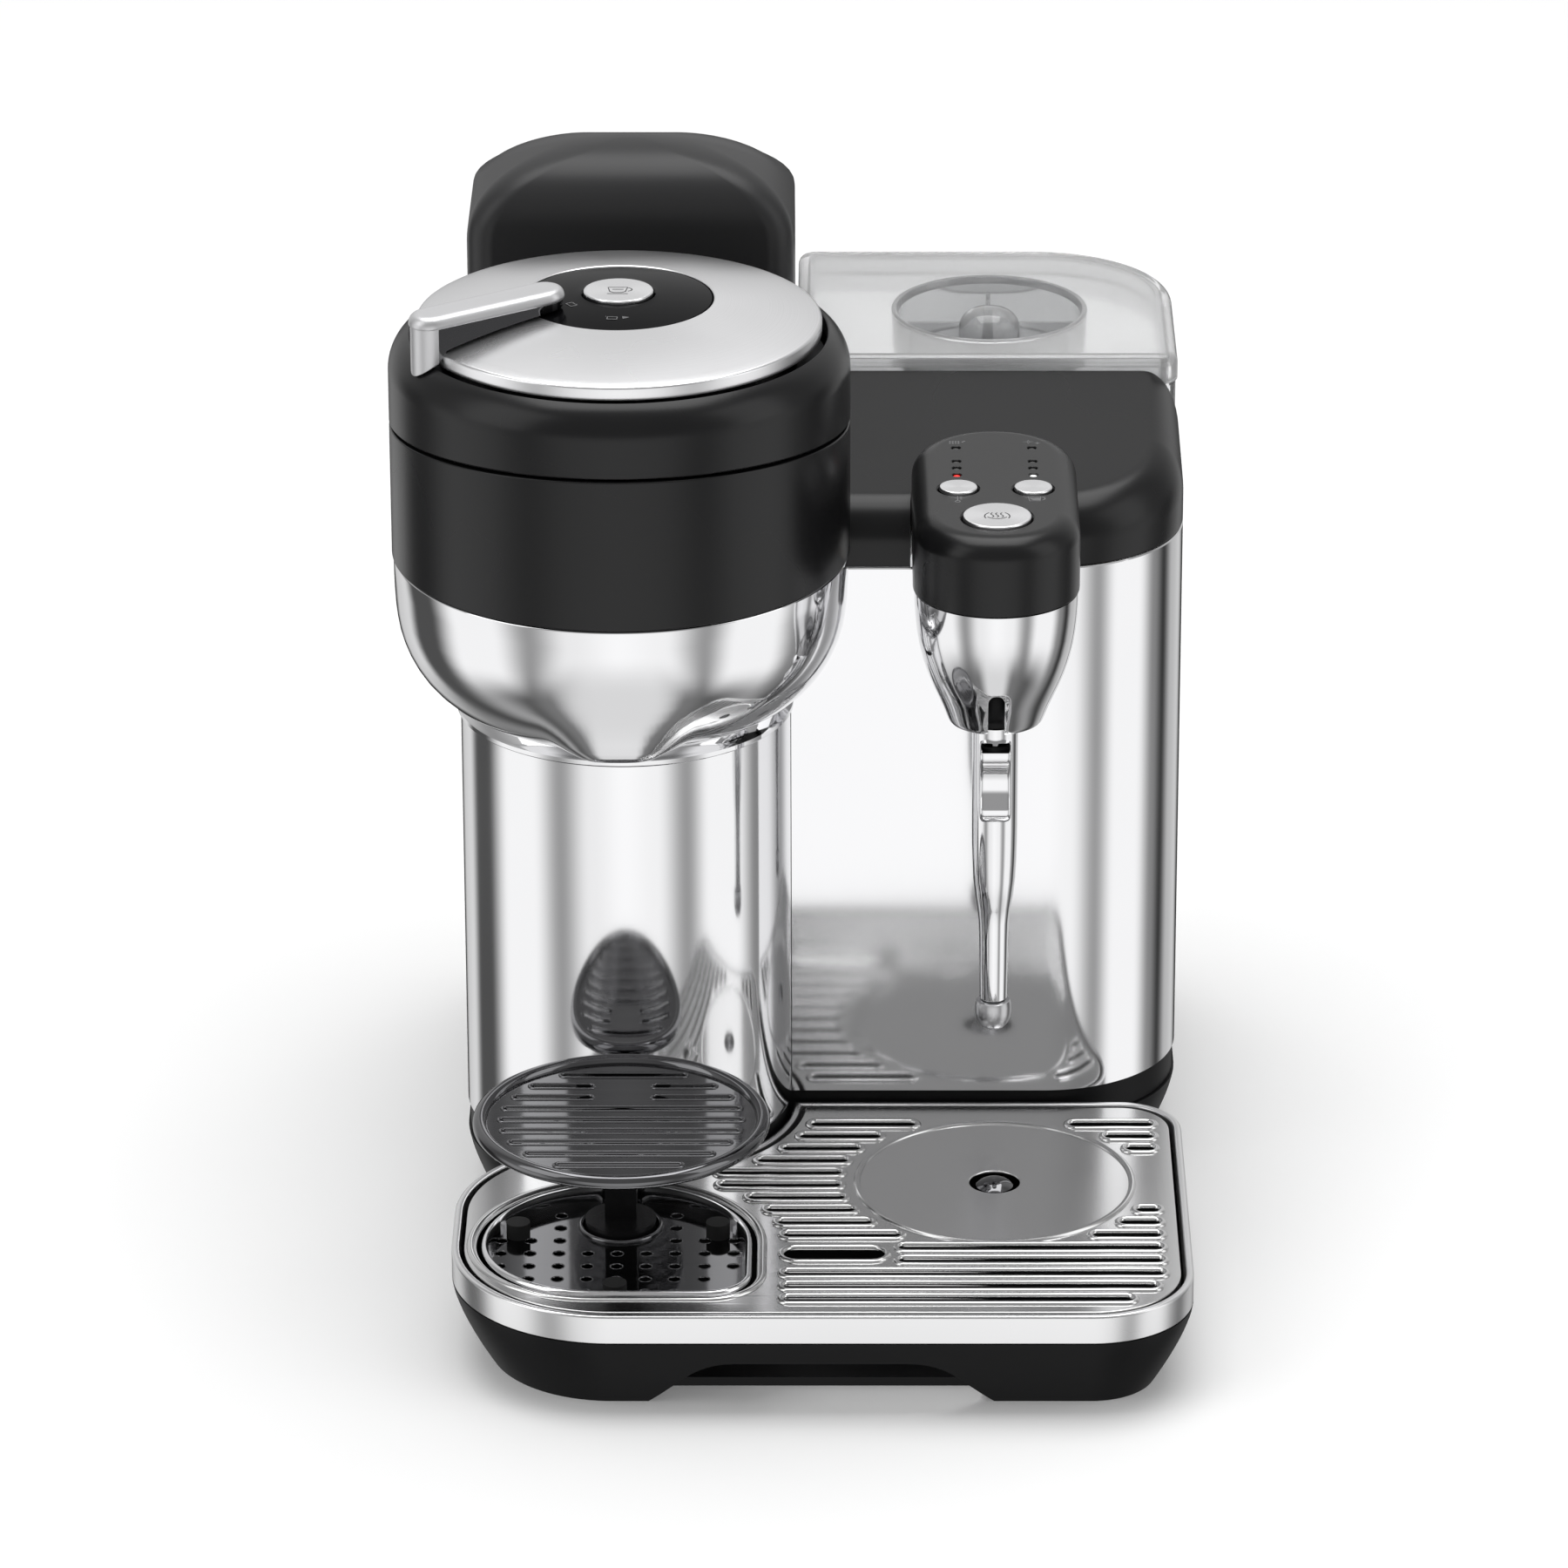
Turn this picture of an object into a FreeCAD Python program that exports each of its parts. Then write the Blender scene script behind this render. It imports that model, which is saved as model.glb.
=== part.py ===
import FreeCAD, Part

import math
import os

os.makedirs("parts", exist_ok=True)
V = FreeCAD.Vector

# Frame: millimetres, +X right, +Y to the back, +Z up. The origin is under the middle of the
# whole machine's box, on the surface it stands on.

# ---------------------------------------------------------------- overall size
WIDTH = 250.0
DEPTH = 350.0
LEFT, RIGHT = -WIDTH / 2, WIDTH / 2
FRONT, REAR = -DEPTH / 2, DEPTH / 2
CLEAR = 0.4                     # gap between bodies that move past each other

# ---------------------------------------------------------------- brew head and column
HEAD_R = 71.5
HEAD_X = LEFT + HEAD_R
HEAD_Y = -50.0
PANEL_Y = -18.0                 # front face of the rear body
COLUMN_R = 52.5                 # half-round column, its axis in the panel's plane
COLUMN_LEFT = HEAD_X - COLUMN_R
COLUMN_TOP = 175.0
NECK_R = 53.6
BOWL_TOP = 240.6
SEAM_Z = 283.0                  # height of the lid's seam at the head's axis
SEAM_TILT = 5.0                 # degrees, the front is higher
SEAM_GAP = 0.9
SHOULDER_Z = 301.0              # where the lid's side starts to round over
SHOULDER_R = 13.0
DISC_R = 62.8
DISC_EDGE_Z = 316.5
DOME_RISE = 8.5
INSERT_R = 29.2
COFFEE_BUTTON_R = 10.8

# ---------------------------------------------------------------- lid hinge, lever and spinning parts
HINGE_Y = HEAD_Y + HEAD_R + 5.5
HINGE_Z = 277.0
HINGE_PIN_R = 2.5
LEVER_ANGLE = 207.0             # degrees round the head's axis, from +X
LEVER_HALF_WIDTH = 5.6
LEVER_R0, LEVER_R1 = 19.0, 67.5
HOLDER_R = 34.0
HOLDER_TOP = 273.0
SHAFT_R = 6.0
PULLEY_Z = 208.0
PULLEY_H = 9.0
HOLDER_PULLEY_R = 16.0
MOTOR_PULLEY_R = 8.0
MOTOR_Y = HEAD_Y + 46.0
MOTOR_R = 18.0

# ---------------------------------------------------------------- drip tray
TRAY_TOP = 35.0
BAND_LOW = 25.3
TRAY_LEFT = RIGHT - 232.0
TRAY_BACK = PANEL_Y - 1.0
TRAY_FL_R, TRAY_RL_R = 51.0, 50.0
TRAY_FR_R, TRAY_RR_R = 32.0, 20.0
BASE_TAPER = 11.5               # how far the base draws in at the floor
BAND_T = 2.5
GRILLE_INSET = BAND_T + 1.4
SHEET = 1.2                     # stamped steel
SLOT_PITCH = 9.0
SLOT_W = 4.2
JUG_X, JUG_Y, JUG_R = 64.0, -78.5, 45.0
WELL_X, WELL_Y, WELL_R = -55.2, -123.2, 43.4
WELL_FRONT = WELL_Y - 36.5
WELL_CORNER_R = 15.0
PLATE_Z = 30.0
PLATE_RIM = 4.6
KEY_X, KEY_Y, KEY_R = HEAD_X - 1.0, -100.7, 12.0
KEY_SLOT = 10.7
PLATFORM_R = 46.5
PLATFORM_Y = -119.0
PLATFORM_TOP = 77.6
NOTCH_X, NOTCH_W, NOTCH_TOP_W, NOTCH_H = 9.0, 105.0, 75.0, 15.0

# ---------------------------------------------------------------- rear body, deck and tank
SKIRT_LOW, SKIRT_TOP = 28.0, 38.0
PANEL_TOP = 221.0
PANEL_CORNER_R = 30.0
REAR_CORNER_R = 45.0
DECK_NOSE_Z = 240.0
DECK_BACK_Y, DECK_BACK_Z = 68.0, 256.0
TANK_X0, TANK_X1 = 1.5, 124.0
TANK_Y0, TANK_Y1 = 70.5, REAR
TANK_Z0, TANK_Z1 = 42.0, 250.0
TANK_WALL = 2.4
TANK_LID_TOP = 259.5
KNOB_X, KNOB_Y, DISH_R = 64.0, 117.0, 30.1
VALVE_X, VALVE_Y, VALVE_R = 60.0, 110.0, 8.5
CONTAINER_Y0, CONTAINER_Y1 = 47.5, 165.0
CONTAINER_Z0, CONTAINER_TOP = 119.0, 334.0
CONTAINER_CREST_Y = 75.0
SEAT_Z = 118.0                  # ledge the container stands on
GLAND_X, GLAND_Z, GLAND_R, GLAND_BORE_R = -30.0, 60.0, 7.8, 4.2
HOSE_R = 2.5

# ---------------------------------------------------------------- steam head
STEAM_X, STEAM_Y, STEAM_R = 63.4, -63.0, 26.0
STEAM_BACK_Y = -11.0
STEAM_LOW, STEAM_TOP = 232.0, 257.0
STEAM_BUTTON_R, STEAM_BUTTON_Y = 10.7, -67.0
SMALL_BUTTON_R, SMALL_BUTTON_Y, SMALL_BUTTON_DX = 6.0, -42.0, 11.7
LED_YS = (-30.0, -24.0, -18.0, -6.0)
WAND_PIVOT_Z = 197.0
WAND_R = 7.2
WAND_TIP_Z = 82.0


# ---------------------------------------------------------------- helpers
def save(name, shape):
    """Write one node; a list becomes a group of separate solids."""
    if isinstance(shape, (list, tuple)):
        shape = Part.makeCompound(list(shape))
    shape.exportStep("parts/%s.step" % name)
    print(name, "solids", len(shape.Solids), "valid", shape.isValid(), round(shape.Volume), "mm3")


def box(x0, x1, y0, y1, z0, z1):
    return Part.makeBox(x1 - x0, y1 - y0, z1 - z0, V(x0, y0, z0))


def rod(x, y, z0, z1, r):
    """Upright cylinder."""
    return Part.makeCylinder(r, z1 - z0, V(x, y, z0))


def tube(x, y, z0, z1, r, wall):
    return rod(x, y, z0, z1, r).cut(rod(x, y, z0, z1, r - wall))


def spin(x, y, points):
    """Turn an (r, z) outline about the upright line through x, y."""
    wire = Part.makePolygon([V(x + r, y, z) for r, z in points + [points[0]]])
    return Part.Face(wire).revolve(V(x, y, 0), V(0, 0, 1), 360)


def arc_to(a, b, centre):
    """Arc edge from a to b about a centre, by the short way round."""
    va, vb = a - centre, b - centre
    mid = va + vb
    mid.normalize()
    return Part.Arc(a, centre + mid * va.Length, b).toShape()


def rounded(x0, x1, y0, y1, radii, z=0.0):
    """Rectangle wire with radii (front-left, front-right, rear-right, rear-left)."""
    fl, fr, rr, rl = radii
    corners = [
        (V(x0, y0 + fl, z), V(x0 + fl, y0, z), V(x0 + fl, y0 + fl, z), fl),
        (V(x1 - fr, y0, z), V(x1, y0 + fr, z), V(x1 - fr, y0 + fr, z), fr),
        (V(x1, y1 - rr, z), V(x1 - rr, y1, z), V(x1 - rr, y1 - rr, z), rr),
        (V(x0 + rl, y1, z), V(x0, y1 - rl, z), V(x0 + rl, y1 - rl, z), rl),
    ]
    edges = []
    for i, (start, end, centre, r) in enumerate(corners):
        if r > 0:
            edges.append(arc_to(start, end, centre))
        following = corners[(i + 1) % 4][0]
        if (following - end).Length > 1e-6:
            edges.append(Part.LineSegment(end, following).toShape())
    return Part.Wire(edges)


def prism(wire, z0, z1):
    face = Part.Face(wire)
    face.translate(V(0, 0, z0 - wire.BoundBox.ZMin))
    return face.extrude(V(0, 0, z1 - z0))


def stadium(x, y0, y1, r, z0, z1):
    """Round-ended bar along Y, between two end centres."""
    return prism(rounded(x - r, x + r, y0 - r, y1 + r, (r, r, r, r)), z0, z1)


def slot(x0, x1, y, width, z0, z1):
    """Round-ended slot along X."""
    r = width / 2
    return prism(rounded(x0, x1, y - r, y + r, (r, r, r, r)), z0, z1)


def pipe(points, r):
    """Tube of straight runs with ball corners."""
    solid = None
    for a, b in zip(points, points[1:]):
        a, b = V(*a), V(*b)
        run = Part.makeCylinder(r, (b - a).Length, a, b - a)
        solid = run if solid is None else solid.fuse(run)
    for p in points[1:-1]:
        solid = solid.fuse(Part.makeSphere(r, V(*p)))
    return solid


def hinge_rod(r, half):
    """Cylinder along the lid's hinge axis, centred on the head."""
    return Part.makeCylinder(r, 2 * half, V(HEAD_X - half, HINGE_Y, HINGE_Z), V(1, 0, 0))


def gland_rod(r, start, length):
    """Cylinder along the cord's path through the back, from a distance off the rear cover's face."""
    return Part.makeCylinder(r, length, V(GLAND_X, CONTAINER_Y1 + start, GLAND_Z), V(0, 1, 0))


def fuse_all(shapes):
    whole = shapes[0]
    for shape in shapes[1:]:
        whole = whole.fuse(shape)
    return whole.removeSplitter()


def seam_cutter(lift):
    """Everything above the tilted seam, raised by a lift."""
    block = box(-200, 200, -200, 200, 0, 200)
    block.rotate(V(0, 0, 0), V(1, 0, 0), -SEAM_TILT)
    block.translate(V(HEAD_X, HEAD_Y, SEAM_Z + lift))
    return block


def dome_z(r):
    """Height of the lid disc's domed face at a radius."""
    return DISC_EDGE_Z + DOME_RISE * (1 - (r / DISC_R) ** 2)


# ---------------------------------------------------------------- drip tray
def tray_wire(inset, z):
    """Plan of the tray, drawn in by an inset; the column's cut is made apart."""
    x0, x1 = TRAY_LEFT + inset, RIGHT - inset
    y0, y1 = FRONT + inset, TRAY_BACK - inset
    mid_x, mid_y = TRAY_LEFT + TRAY_RL_R, HEAD_Y - inset
    fl, fr = TRAY_FL_R - inset, TRAY_FR_R - inset
    rr, rl = max(TRAY_RR_R - inset, 2.0), TRAY_RL_R - inset
    points = [
        (V(x0, y0 + fl, z), V(x0 + fl, y0, z), V(x0 + fl, y0 + fl, z)),
        (V(x1 - fr, y0, z), V(x1, y0 + fr, z), V(x1 - fr, y0 + fr, z)),
        (V(x1, y1 - rr, z), V(x1 - rr, y1, z), V(x1 - rr, y1 - rr, z)),
    ]
    edges = []
    for start, end, centre in points:
        if edges:
            edges.append(Part.LineSegment(edges[-1].Vertexes[-1].Point, start).toShape())
        edges.append(arc_to(start, end, centre))
    knee_low, knee_high = V(mid_x, mid_y, z), V(mid_x, y1, z)
    left_top = V(x0, mid_y - rl, z)
    edges.append(Part.LineSegment(edges[-1].Vertexes[-1].Point, knee_high).toShape())
    edges.append(Part.LineSegment(knee_high, knee_low).toShape())
    edges.append(arc_to(knee_low, left_top, V(mid_x, mid_y - rl, z)))
    edges.append(Part.LineSegment(left_top, points[0][0]).toShape())
    return Part.Wire(edges)


def tray_slab(inset, z0, z1):
    """Flat slab of the tray's plan with the column's round cut in its back."""
    slab = prism(tray_wire(inset, z0), z0, z1)
    return slab.cut(rod(HEAD_X, PANEL_Y, z0 - 1, z1 + 1, COLUMN_R + 0.9 + inset))


def taper_inset(z, height):
    """The base's side draws in towards the floor along a soft curve."""
    return BASE_TAPER * (1 - z / height) ** 1.35


def tapered(wire_at, extra, z0, z1, height, steps=5):
    """Loft of a plan that draws in towards the floor."""
    wires = []
    for i in range(steps + 1):
        z = z0 + (z1 - z0) * i / steps
        wires.append(wire_at(extra + taper_inset(z, height), z))
    return Part.makeLoft(wires, True, True)


def notch_solid(grow):
    """Arch-shaped notch in the middle of the base's front."""
    half_low, half_high = NOTCH_W / 2 + grow, NOTCH_TOP_W / 2 + grow
    points = [V(NOTCH_X - half_low, FRONT - 5, -1), V(NOTCH_X - half_high, FRONT - 5, NOTCH_H + grow),
              V(NOTCH_X + half_high, FRONT - 5, NOTCH_H + grow), V(NOTCH_X + half_low, FRONT - 5, -1)]
    face = Part.Face(Part.makePolygon(points + [points[0]]))
    return face.extrude(V(0, 27 + grow, 0))


def make_tray_base():
    outer = tapered(tray_wire, 0.0, 0.0, BAND_LOW, BAND_LOW)
    inner = tapered(tray_wire, 3.0, 3.0, BAND_LOW + 1, BAND_LOW + 1)
    inner = inner.cut(rod(HEAD_X, PANEL_Y, 0, 60, COLUMN_R + 4.5)).cut(notch_solid(2.5))
    shell = outer.cut(rod(HEAD_X, PANEL_Y, -1, 60, COLUMN_R + 0.9 + 0.1))
    shell = shell.cut(inner).cut(notch_solid(0.0))
    sensor_boss = rod(JUG_X, JUG_Y, 2.0, 24.0, 9.0)
    return shell.fuse(sensor_boss).cut(rod(JUG_X, JUG_Y, 12.0, 30.0, 6.2))


def make_trim_band():
    return tray_slab(0.0, BAND_LOW, TRAY_TOP).cut(tray_slab(BAND_T, BAND_LOW - 1, TRAY_TOP + 1))


def well_wire(inset, z):
    """Plan of the round well at the left of the grille."""
    r, left = WELL_R - inset, WELL_X - WELL_R + inset
    right, front = WELL_X + WELL_R - inset, WELL_FRONT + inset
    lower_r = WELL_Y - front
    corner = max(WELL_CORNER_R - inset, 1.0)
    centre = V(WELL_X, WELL_Y, z)
    a, top, b = V(right, WELL_Y, z), V(WELL_X, WELL_Y + r, z), V(left, WELL_Y, z)
    c = V(left + lower_r, front, z)
    d, e = V(right - corner, front, z), V(right, front + corner, z)
    return Part.Wire([
        Part.Arc(a, top, b).toShape(),
        arc_to(b, c, V(left + lower_r, WELL_Y, z)),
        Part.LineSegment(c, d).toShape(),
        arc_to(d, e, V(right - corner, front + corner, z)),
        Part.LineSegment(e, a).toShape(),
    ])


def slot_rows():
    """(x0, x1, y, width) of every louvre slot, worked out row by row."""
    rows = []
    clear = JUG_R + 4.0
    first = FRONT + 12.8
    for i in range(15):
        y = first + SLOT_PITCH * i
        inset = 9.0
        right = RIGHT - inset
        corner_y = FRONT + TRAY_FR_R
        if y < corner_y:
            reach = TRAY_FR_R - inset
            right = RIGHT - TRAY_FR_R + math.sqrt(max(reach ** 2 - (corner_y - y) ** 2, 0.0))
        left = -3.0
        if y > WELL_Y:
            well = WELL_R + 9.0
            dy = y - WELL_Y
            left = WELL_X + math.sqrt(max(well ** 2 - dy ** 2, 0.0)) if dy < well else HEAD_X
            round_column = COLUMN_R + 9.0
            dy = y - PANEL_Y
            if abs(dy) < round_column:
                left = max(left, HEAD_X + math.sqrt(round_column ** 2 - dy ** 2))
        dy = abs(y - JUG_Y)
        if dy < clear:
            half = math.sqrt(clear ** 2 - dy ** 2)
            spans = [(left, JUG_X - half), (JUG_X + half, right)]
        else:
            spans = [(left, right)]
        if i in (3, 4):
            spans = [(33.0, right)]
        rows += [(x0, x1, y, SLOT_W) for x0, x1 in spans if x1 - x0 > 7.0]
    finger_y = first + SLOT_PITCH * 3.5
    rows.append((-3.0, 29.0, finger_y, 9.0))
    return rows


def make_grille():
    low, high = TRAY_TOP - 0.4 - SHEET, TRAY_TOP - 0.4
    plate = tray_slab(GRILLE_INSET, low, high)
    flange = tray_slab(GRILLE_INSET, BAND_LOW + 0.6, low)
    flange = flange.cut(tray_slab(GRILLE_INSET + SHEET, BAND_LOW, low + 1))
    sheet = plate.fuse(flange)
    sheet = sheet.cut(prism(well_wire(-0.6, low - 1), low - 1, high + 1))
    cuts = [slot(x0, x1, y, w, low - 1, high + 1) for x0, x1, y, w in slot_rows()]
    cuts.append(rod(JUG_X, JUG_Y, low - 1, high + 1, 8.0))
    sheet = sheet.cut(Part.makeCompound(cuts))
    ring = tube(JUG_X, JUG_Y, high, high + 0.8, JUG_R, 2.0)
    return sheet.fuse(ring).removeSplitter()


def plate_holes():
    """Rows of drain holes, each (number of holes, first column from the middle)."""
    pitch = 9.3
    rows = [(-4, 4, 3), (-4, 4, 2), (-4, 4, 1), (-3, 3, 0), (-2, 2, -1), (-1, 1, -2)]
    holes = []
    for first, last, row in rows:
        for column in range(first, last + 1):
            x, y = WELL_X + pitch * column, WELL_Y + 2.4 + (row - 2) * SLOT_PITCH
            near_key = math.hypot(x - KEY_X, y - KEY_Y) < KEY_R + 4.0
            if not near_key:
                holes.append((x, y))
    for column in (-2, 2):
        for row in (4, 5):
            holes.append((WELL_X + pitch * column, WELL_Y + 2.4 + (row - 2) * SLOT_PITCH))
    return holes


def key_solid(grow, z0, z1):
    """Keyhole: a round hole with a slot running back."""
    hole = rod(KEY_X, KEY_Y, z0, z1, KEY_R + grow)
    half = KEY_SLOT / 2 + grow
    return hole.fuse(box(KEY_X - half, KEY_X + half, KEY_Y, KEY_Y + 17.0 + grow, z0, z1))


def make_perforated_plate():
    floor = prism(well_wire(0.0, PLATE_Z - SHEET), PLATE_Z - SHEET, PLATE_Z)
    rim = prism(well_wire(0.0, PLATE_Z), PLATE_Z, TRAY_TOP - 0.2)
    rim = rim.cut(prism(well_wire(PLATE_RIM, PLATE_Z), PLATE_Z, TRAY_TOP))
    plate = floor.fuse(rim)
    lip = key_solid(1.4, PLATE_Z, PLATE_Z + 1.2)
    plate = plate.fuse(lip)
    cuts = [rod(x, y, PLATE_Z - 3, PLATE_Z + 1, 1.75) for x, y in plate_holes()]
    cuts.append(key_solid(0.0, PLATE_Z - 3, PLATE_Z + 9))
    return plate.cut(Part.makeCompound(cuts)).removeSplitter()


def make_bumpers():
    spots = ((WELL_X - 31.5, -108.2), (WELL_X + 31.5, -108.2), (WELL_X, -151.0))
    return [rod(x, y, PLATE_Z, PLATE_Z + 5.0, 3.75) for x, y in spots]


def make_post_socket():
    """Cup under the keyhole that holds the post's foot, standing on the tray's floor."""
    outer = key_solid(2.6, 3.0, PLATE_Z - SHEET - 0.6)
    return outer.cut(key_solid(0.4, 6.0, 40.0))


def make_post():
    foot = rod(KEY_X, KEY_Y, 9.0, PLATE_Z + 3.0, KEY_R - 0.8)
    stem = box(KEY_X - 5.0, KEY_X + 5.0, KEY_Y - 2.0, KEY_Y + 12.0, 9.0, PLATFORM_TOP - 3.6)
    spread = spin(HEAD_X, KEY_Y + 5.0, [(0, 68.0), (6.0, 68.0), (15.0, 74.0), (0, 74.0)])
    return fuse_all([foot, stem, spread])


def make_platform():
    plate = rod(HEAD_X, PLATFORM_Y, 74.2, 75.6, PLATFORM_R - 2.0)
    rim = Part.makeTorus(PLATFORM_R - 2.3, 2.3, V(HEAD_X, PLATFORM_Y, PLATFORM_TOP - 2.3))
    cuts = []
    for i in range(-4, 5):
        y = PLATFORM_Y + 8.2 * i
        half = math.sqrt((PLATFORM_R - 8.0) ** 2 - (8.2 * i) ** 2)
        if i in (2, 3):
            cuts.append(slot(HEAD_X - half, HEAD_X - 9.0, y, 3.6, 70, 80))
            cuts.append(slot(HEAD_X + 9.0, HEAD_X + half, y, 3.6, 70, 80))
        else:
            cuts.append(slot(HEAD_X - half, HEAD_X + half, y, 3.6, 70, 80))
    return plate.fuse(rim).cut(Part.makeCompound(cuts))


save("tray_base_shell", make_tray_base())
save("tray_trim_band", make_trim_band())
save("drip_grille", make_grille())
save("perforated_plate", make_perforated_plate())
save("plate_bumpers", make_bumpers())
save("cup_post_socket", make_post_socket())
save("jug_temperature_sensor", rod(JUG_X, JUG_Y, 12.5, 33.6, 6.0).fuse(
    Part.makeSphere(9.0, V(JUG_X, JUG_Y, 26.9)).common(rod(JUG_X, JUG_Y, 33.5, 40.0, 6.0))))
save("cup_support_post", make_post())
save("cup_platform", make_platform())


# ---------------------------------------------------------------- rear body
def rear_wire(inset, z):
    """Plan of the rear body: round column at the front left, then the flat panel."""
    r = COLUMN_R - inset
    right, back = RIGHT - inset, REAR - inset
    front = PANEL_Y + inset
    fr, rr = PANEL_CORNER_R - inset, REAR_CORNER_R - inset
    left = COLUMN_LEFT + inset
    half = math.sqrt(r ** 2 - inset ** 2)
    a, nose, b = V(left, PANEL_Y, z), V(HEAD_X, PANEL_Y - r, z), V(HEAD_X + half, front, z)
    c, d = V(right - fr, front, z), V(right, front + fr, z)
    e, f = V(right, back - rr, z), V(right - rr, back, z)
    g, h = V(left + rr, back, z), V(left, back - rr, z)
    return Part.Wire([
        Part.Arc(a, nose, b).toShape(),
        Part.LineSegment(b, c).toShape(),
        arc_to(c, d, V(right - fr, front + fr, z)),
        Part.LineSegment(d, e).toShape(),
        arc_to(e, f, V(right - rr, back - rr, z)),
        Part.LineSegment(f, g).toShape(),
        arc_to(g, h, V(left + rr, back - rr, z)),
        Part.LineSegment(h, a).toShape(),
    ])


FOOT_SPOTS = ((-85.0, 0.0), (100.0, 5.0), (95.0, 145.0), (-75.0, 145.0), (HEAD_X, -45.0))
SCREW_SPOTS = ((-60.0, 60.0), (20.0, 10.0), (70.0, 90.0), (20.0, 150.0))


def make_rear_base():
    outer = tapered(rear_wire, 0.0, 1.5, SKIRT_LOW, SKIRT_LOW)
    inner = tapered(rear_wire, 2.5, 5.0, SKIRT_LOW + 1, SKIRT_LOW + 1)
    shell = outer.cut(inner)
    for x, y in FOOT_SPOTS:
        shell = shell.cut(rod(x, y, 0, 3.0, 9.3))
    for x, y in SCREW_SPOTS:
        shell = shell.fuse(rod(x, y, 4.0, SKIRT_LOW, 6.0)).cut(rod(x, y, 0, 3.2, 4.2))
        shell = shell.cut(rod(x, y, 0, SKIRT_LOW + 1, 2.0))
    return shell


def make_screws():
    screws = []
    for x, y in SCREW_SPOTS:
        head = rod(x, y, 1.6, 3.2, 3.6)
        cross = box(x - 2.2, x + 2.2, y - 0.5, y + 0.5, 1, 2.4)
        cross = cross.fuse(box(x - 0.5, x + 0.5, y - 2.2, y + 2.2, 1, 2.4))
        screws.append(head.cut(cross).fuse(rod(x, y, 3.2, 24.0, 1.95)))
    return screws


def make_skirt():
    ring = prism(rear_wire(0.8, SKIRT_LOW), SKIRT_LOW, SKIRT_TOP)
    return ring.cut(prism(rear_wire(3.4, SKIRT_LOW), SKIRT_LOW - 1, SKIRT_TOP + 1))


def make_column_sleeve():
    """Polished half-round sleeve that runs straight back along the left side."""
    ring = prism(rear_wire(0.0, SKIRT_TOP), SKIRT_TOP, COLUMN_TOP)
    ring = ring.cut(prism(rear_wire(1.2, SKIRT_TOP), SKIRT_TOP - 1, COLUMN_TOP + 1))
    left_side = box(LEFT, HEAD_X, PANEL_Y - 0.1, 12.0, 0, 300)
    front = box(LEFT, HEAD_X + COLUMN_R - 0.5, -100, PANEL_Y, 0, 300)
    return ring.common(left_side.fuse(front)).removeSplitter()


def bowl_profile(inset):
    """Half outline of the bowl's outside, drawn in by an inset."""
    points = [(71.0, 240.4), (70.5, 224.0), (69.4, 216.5), (67.4, 210.5), (64.4, 204.8),
              (60.0, 199.4), (53.4, 194.2), (44.0, 190.0), (30.0, 187.2), (14.0, 186.2)]
    return [(max(r - inset, 0.0), z + inset * (1 - r / 80.0)) for r, z in points]


def make_bowl():
    outer = bowl_profile(0.0)
    inner = bowl_profile(1.4)
    inner_up = [(r, min(z, outer[0][1])) for r, z in inner[::-1]]
    shell = spin(HEAD_X, HEAD_Y, outer + [(0, 186.2), (0, 187.5)] + inner_up)
    spout = Part.makeLoft([
        Part.Wire(Part.Ellipse(V(HEAD_X, HEAD_Y - 47.0, 212.0), 21.0, 16.0).toShape()),
        Part.Wire(Part.Ellipse(V(HEAD_X, HEAD_Y - 53.0, 203.0), 13.0, 9.5).toShape()),
        Part.Wire(Part.Ellipse(V(HEAD_X, HEAD_Y - 56.0, 195.5), 8.0, 5.6).toShape())], True, True)
    inside = spin(HEAD_X, HEAD_Y, [(0, 187.5)] + [(r, z) for r, z in inner[::-1]] + [(0, inner[0][1])])
    spout = spout.cut(inside)
    bore = Part.makeCone(3.0, 7.0, 26.0, V(HEAD_X, HEAD_Y - 54.0, 192.0))
    motor_hole = rod(HEAD_X, MOTOR_Y, 180, 206, MOTOR_R + 2.0)
    return shell.fuse(spout).cut(bore).cut(motor_hole)


def bowl_filled(grow):
    return spin(HEAD_X, HEAD_Y, [(0, 186.2 - grow)] + bowl_profile(-grow)[::-1] + [(0, 241)])


def make_neck():
    """Concave collar between the column and the bowl."""
    outer = [(NECK_R, COLUMN_TOP), (NECK_R, COLUMN_TOP + 2.0), (51.5, COLUMN_TOP + 4.0),
             (50.2, COLUMN_TOP + 8.0), (50.0, COLUMN_TOP + 14.0), (50.8, COLUMN_TOP + 22.0),
             (52.4, COLUMN_TOP + 30.0)]
    inner = [(r - 2.0, z) for r, z in outer[::-1]]
    neck = spin(HEAD_X, PANEL_Y, outer + inner)
    neck = neck.cut(bowl_filled(0.25))
    keep = box(-150, 50, -100, 20.5, 100, 240)
    parts = neck.common(keep).Solids
    return max(parts, key=lambda s: s.Volume)


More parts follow.
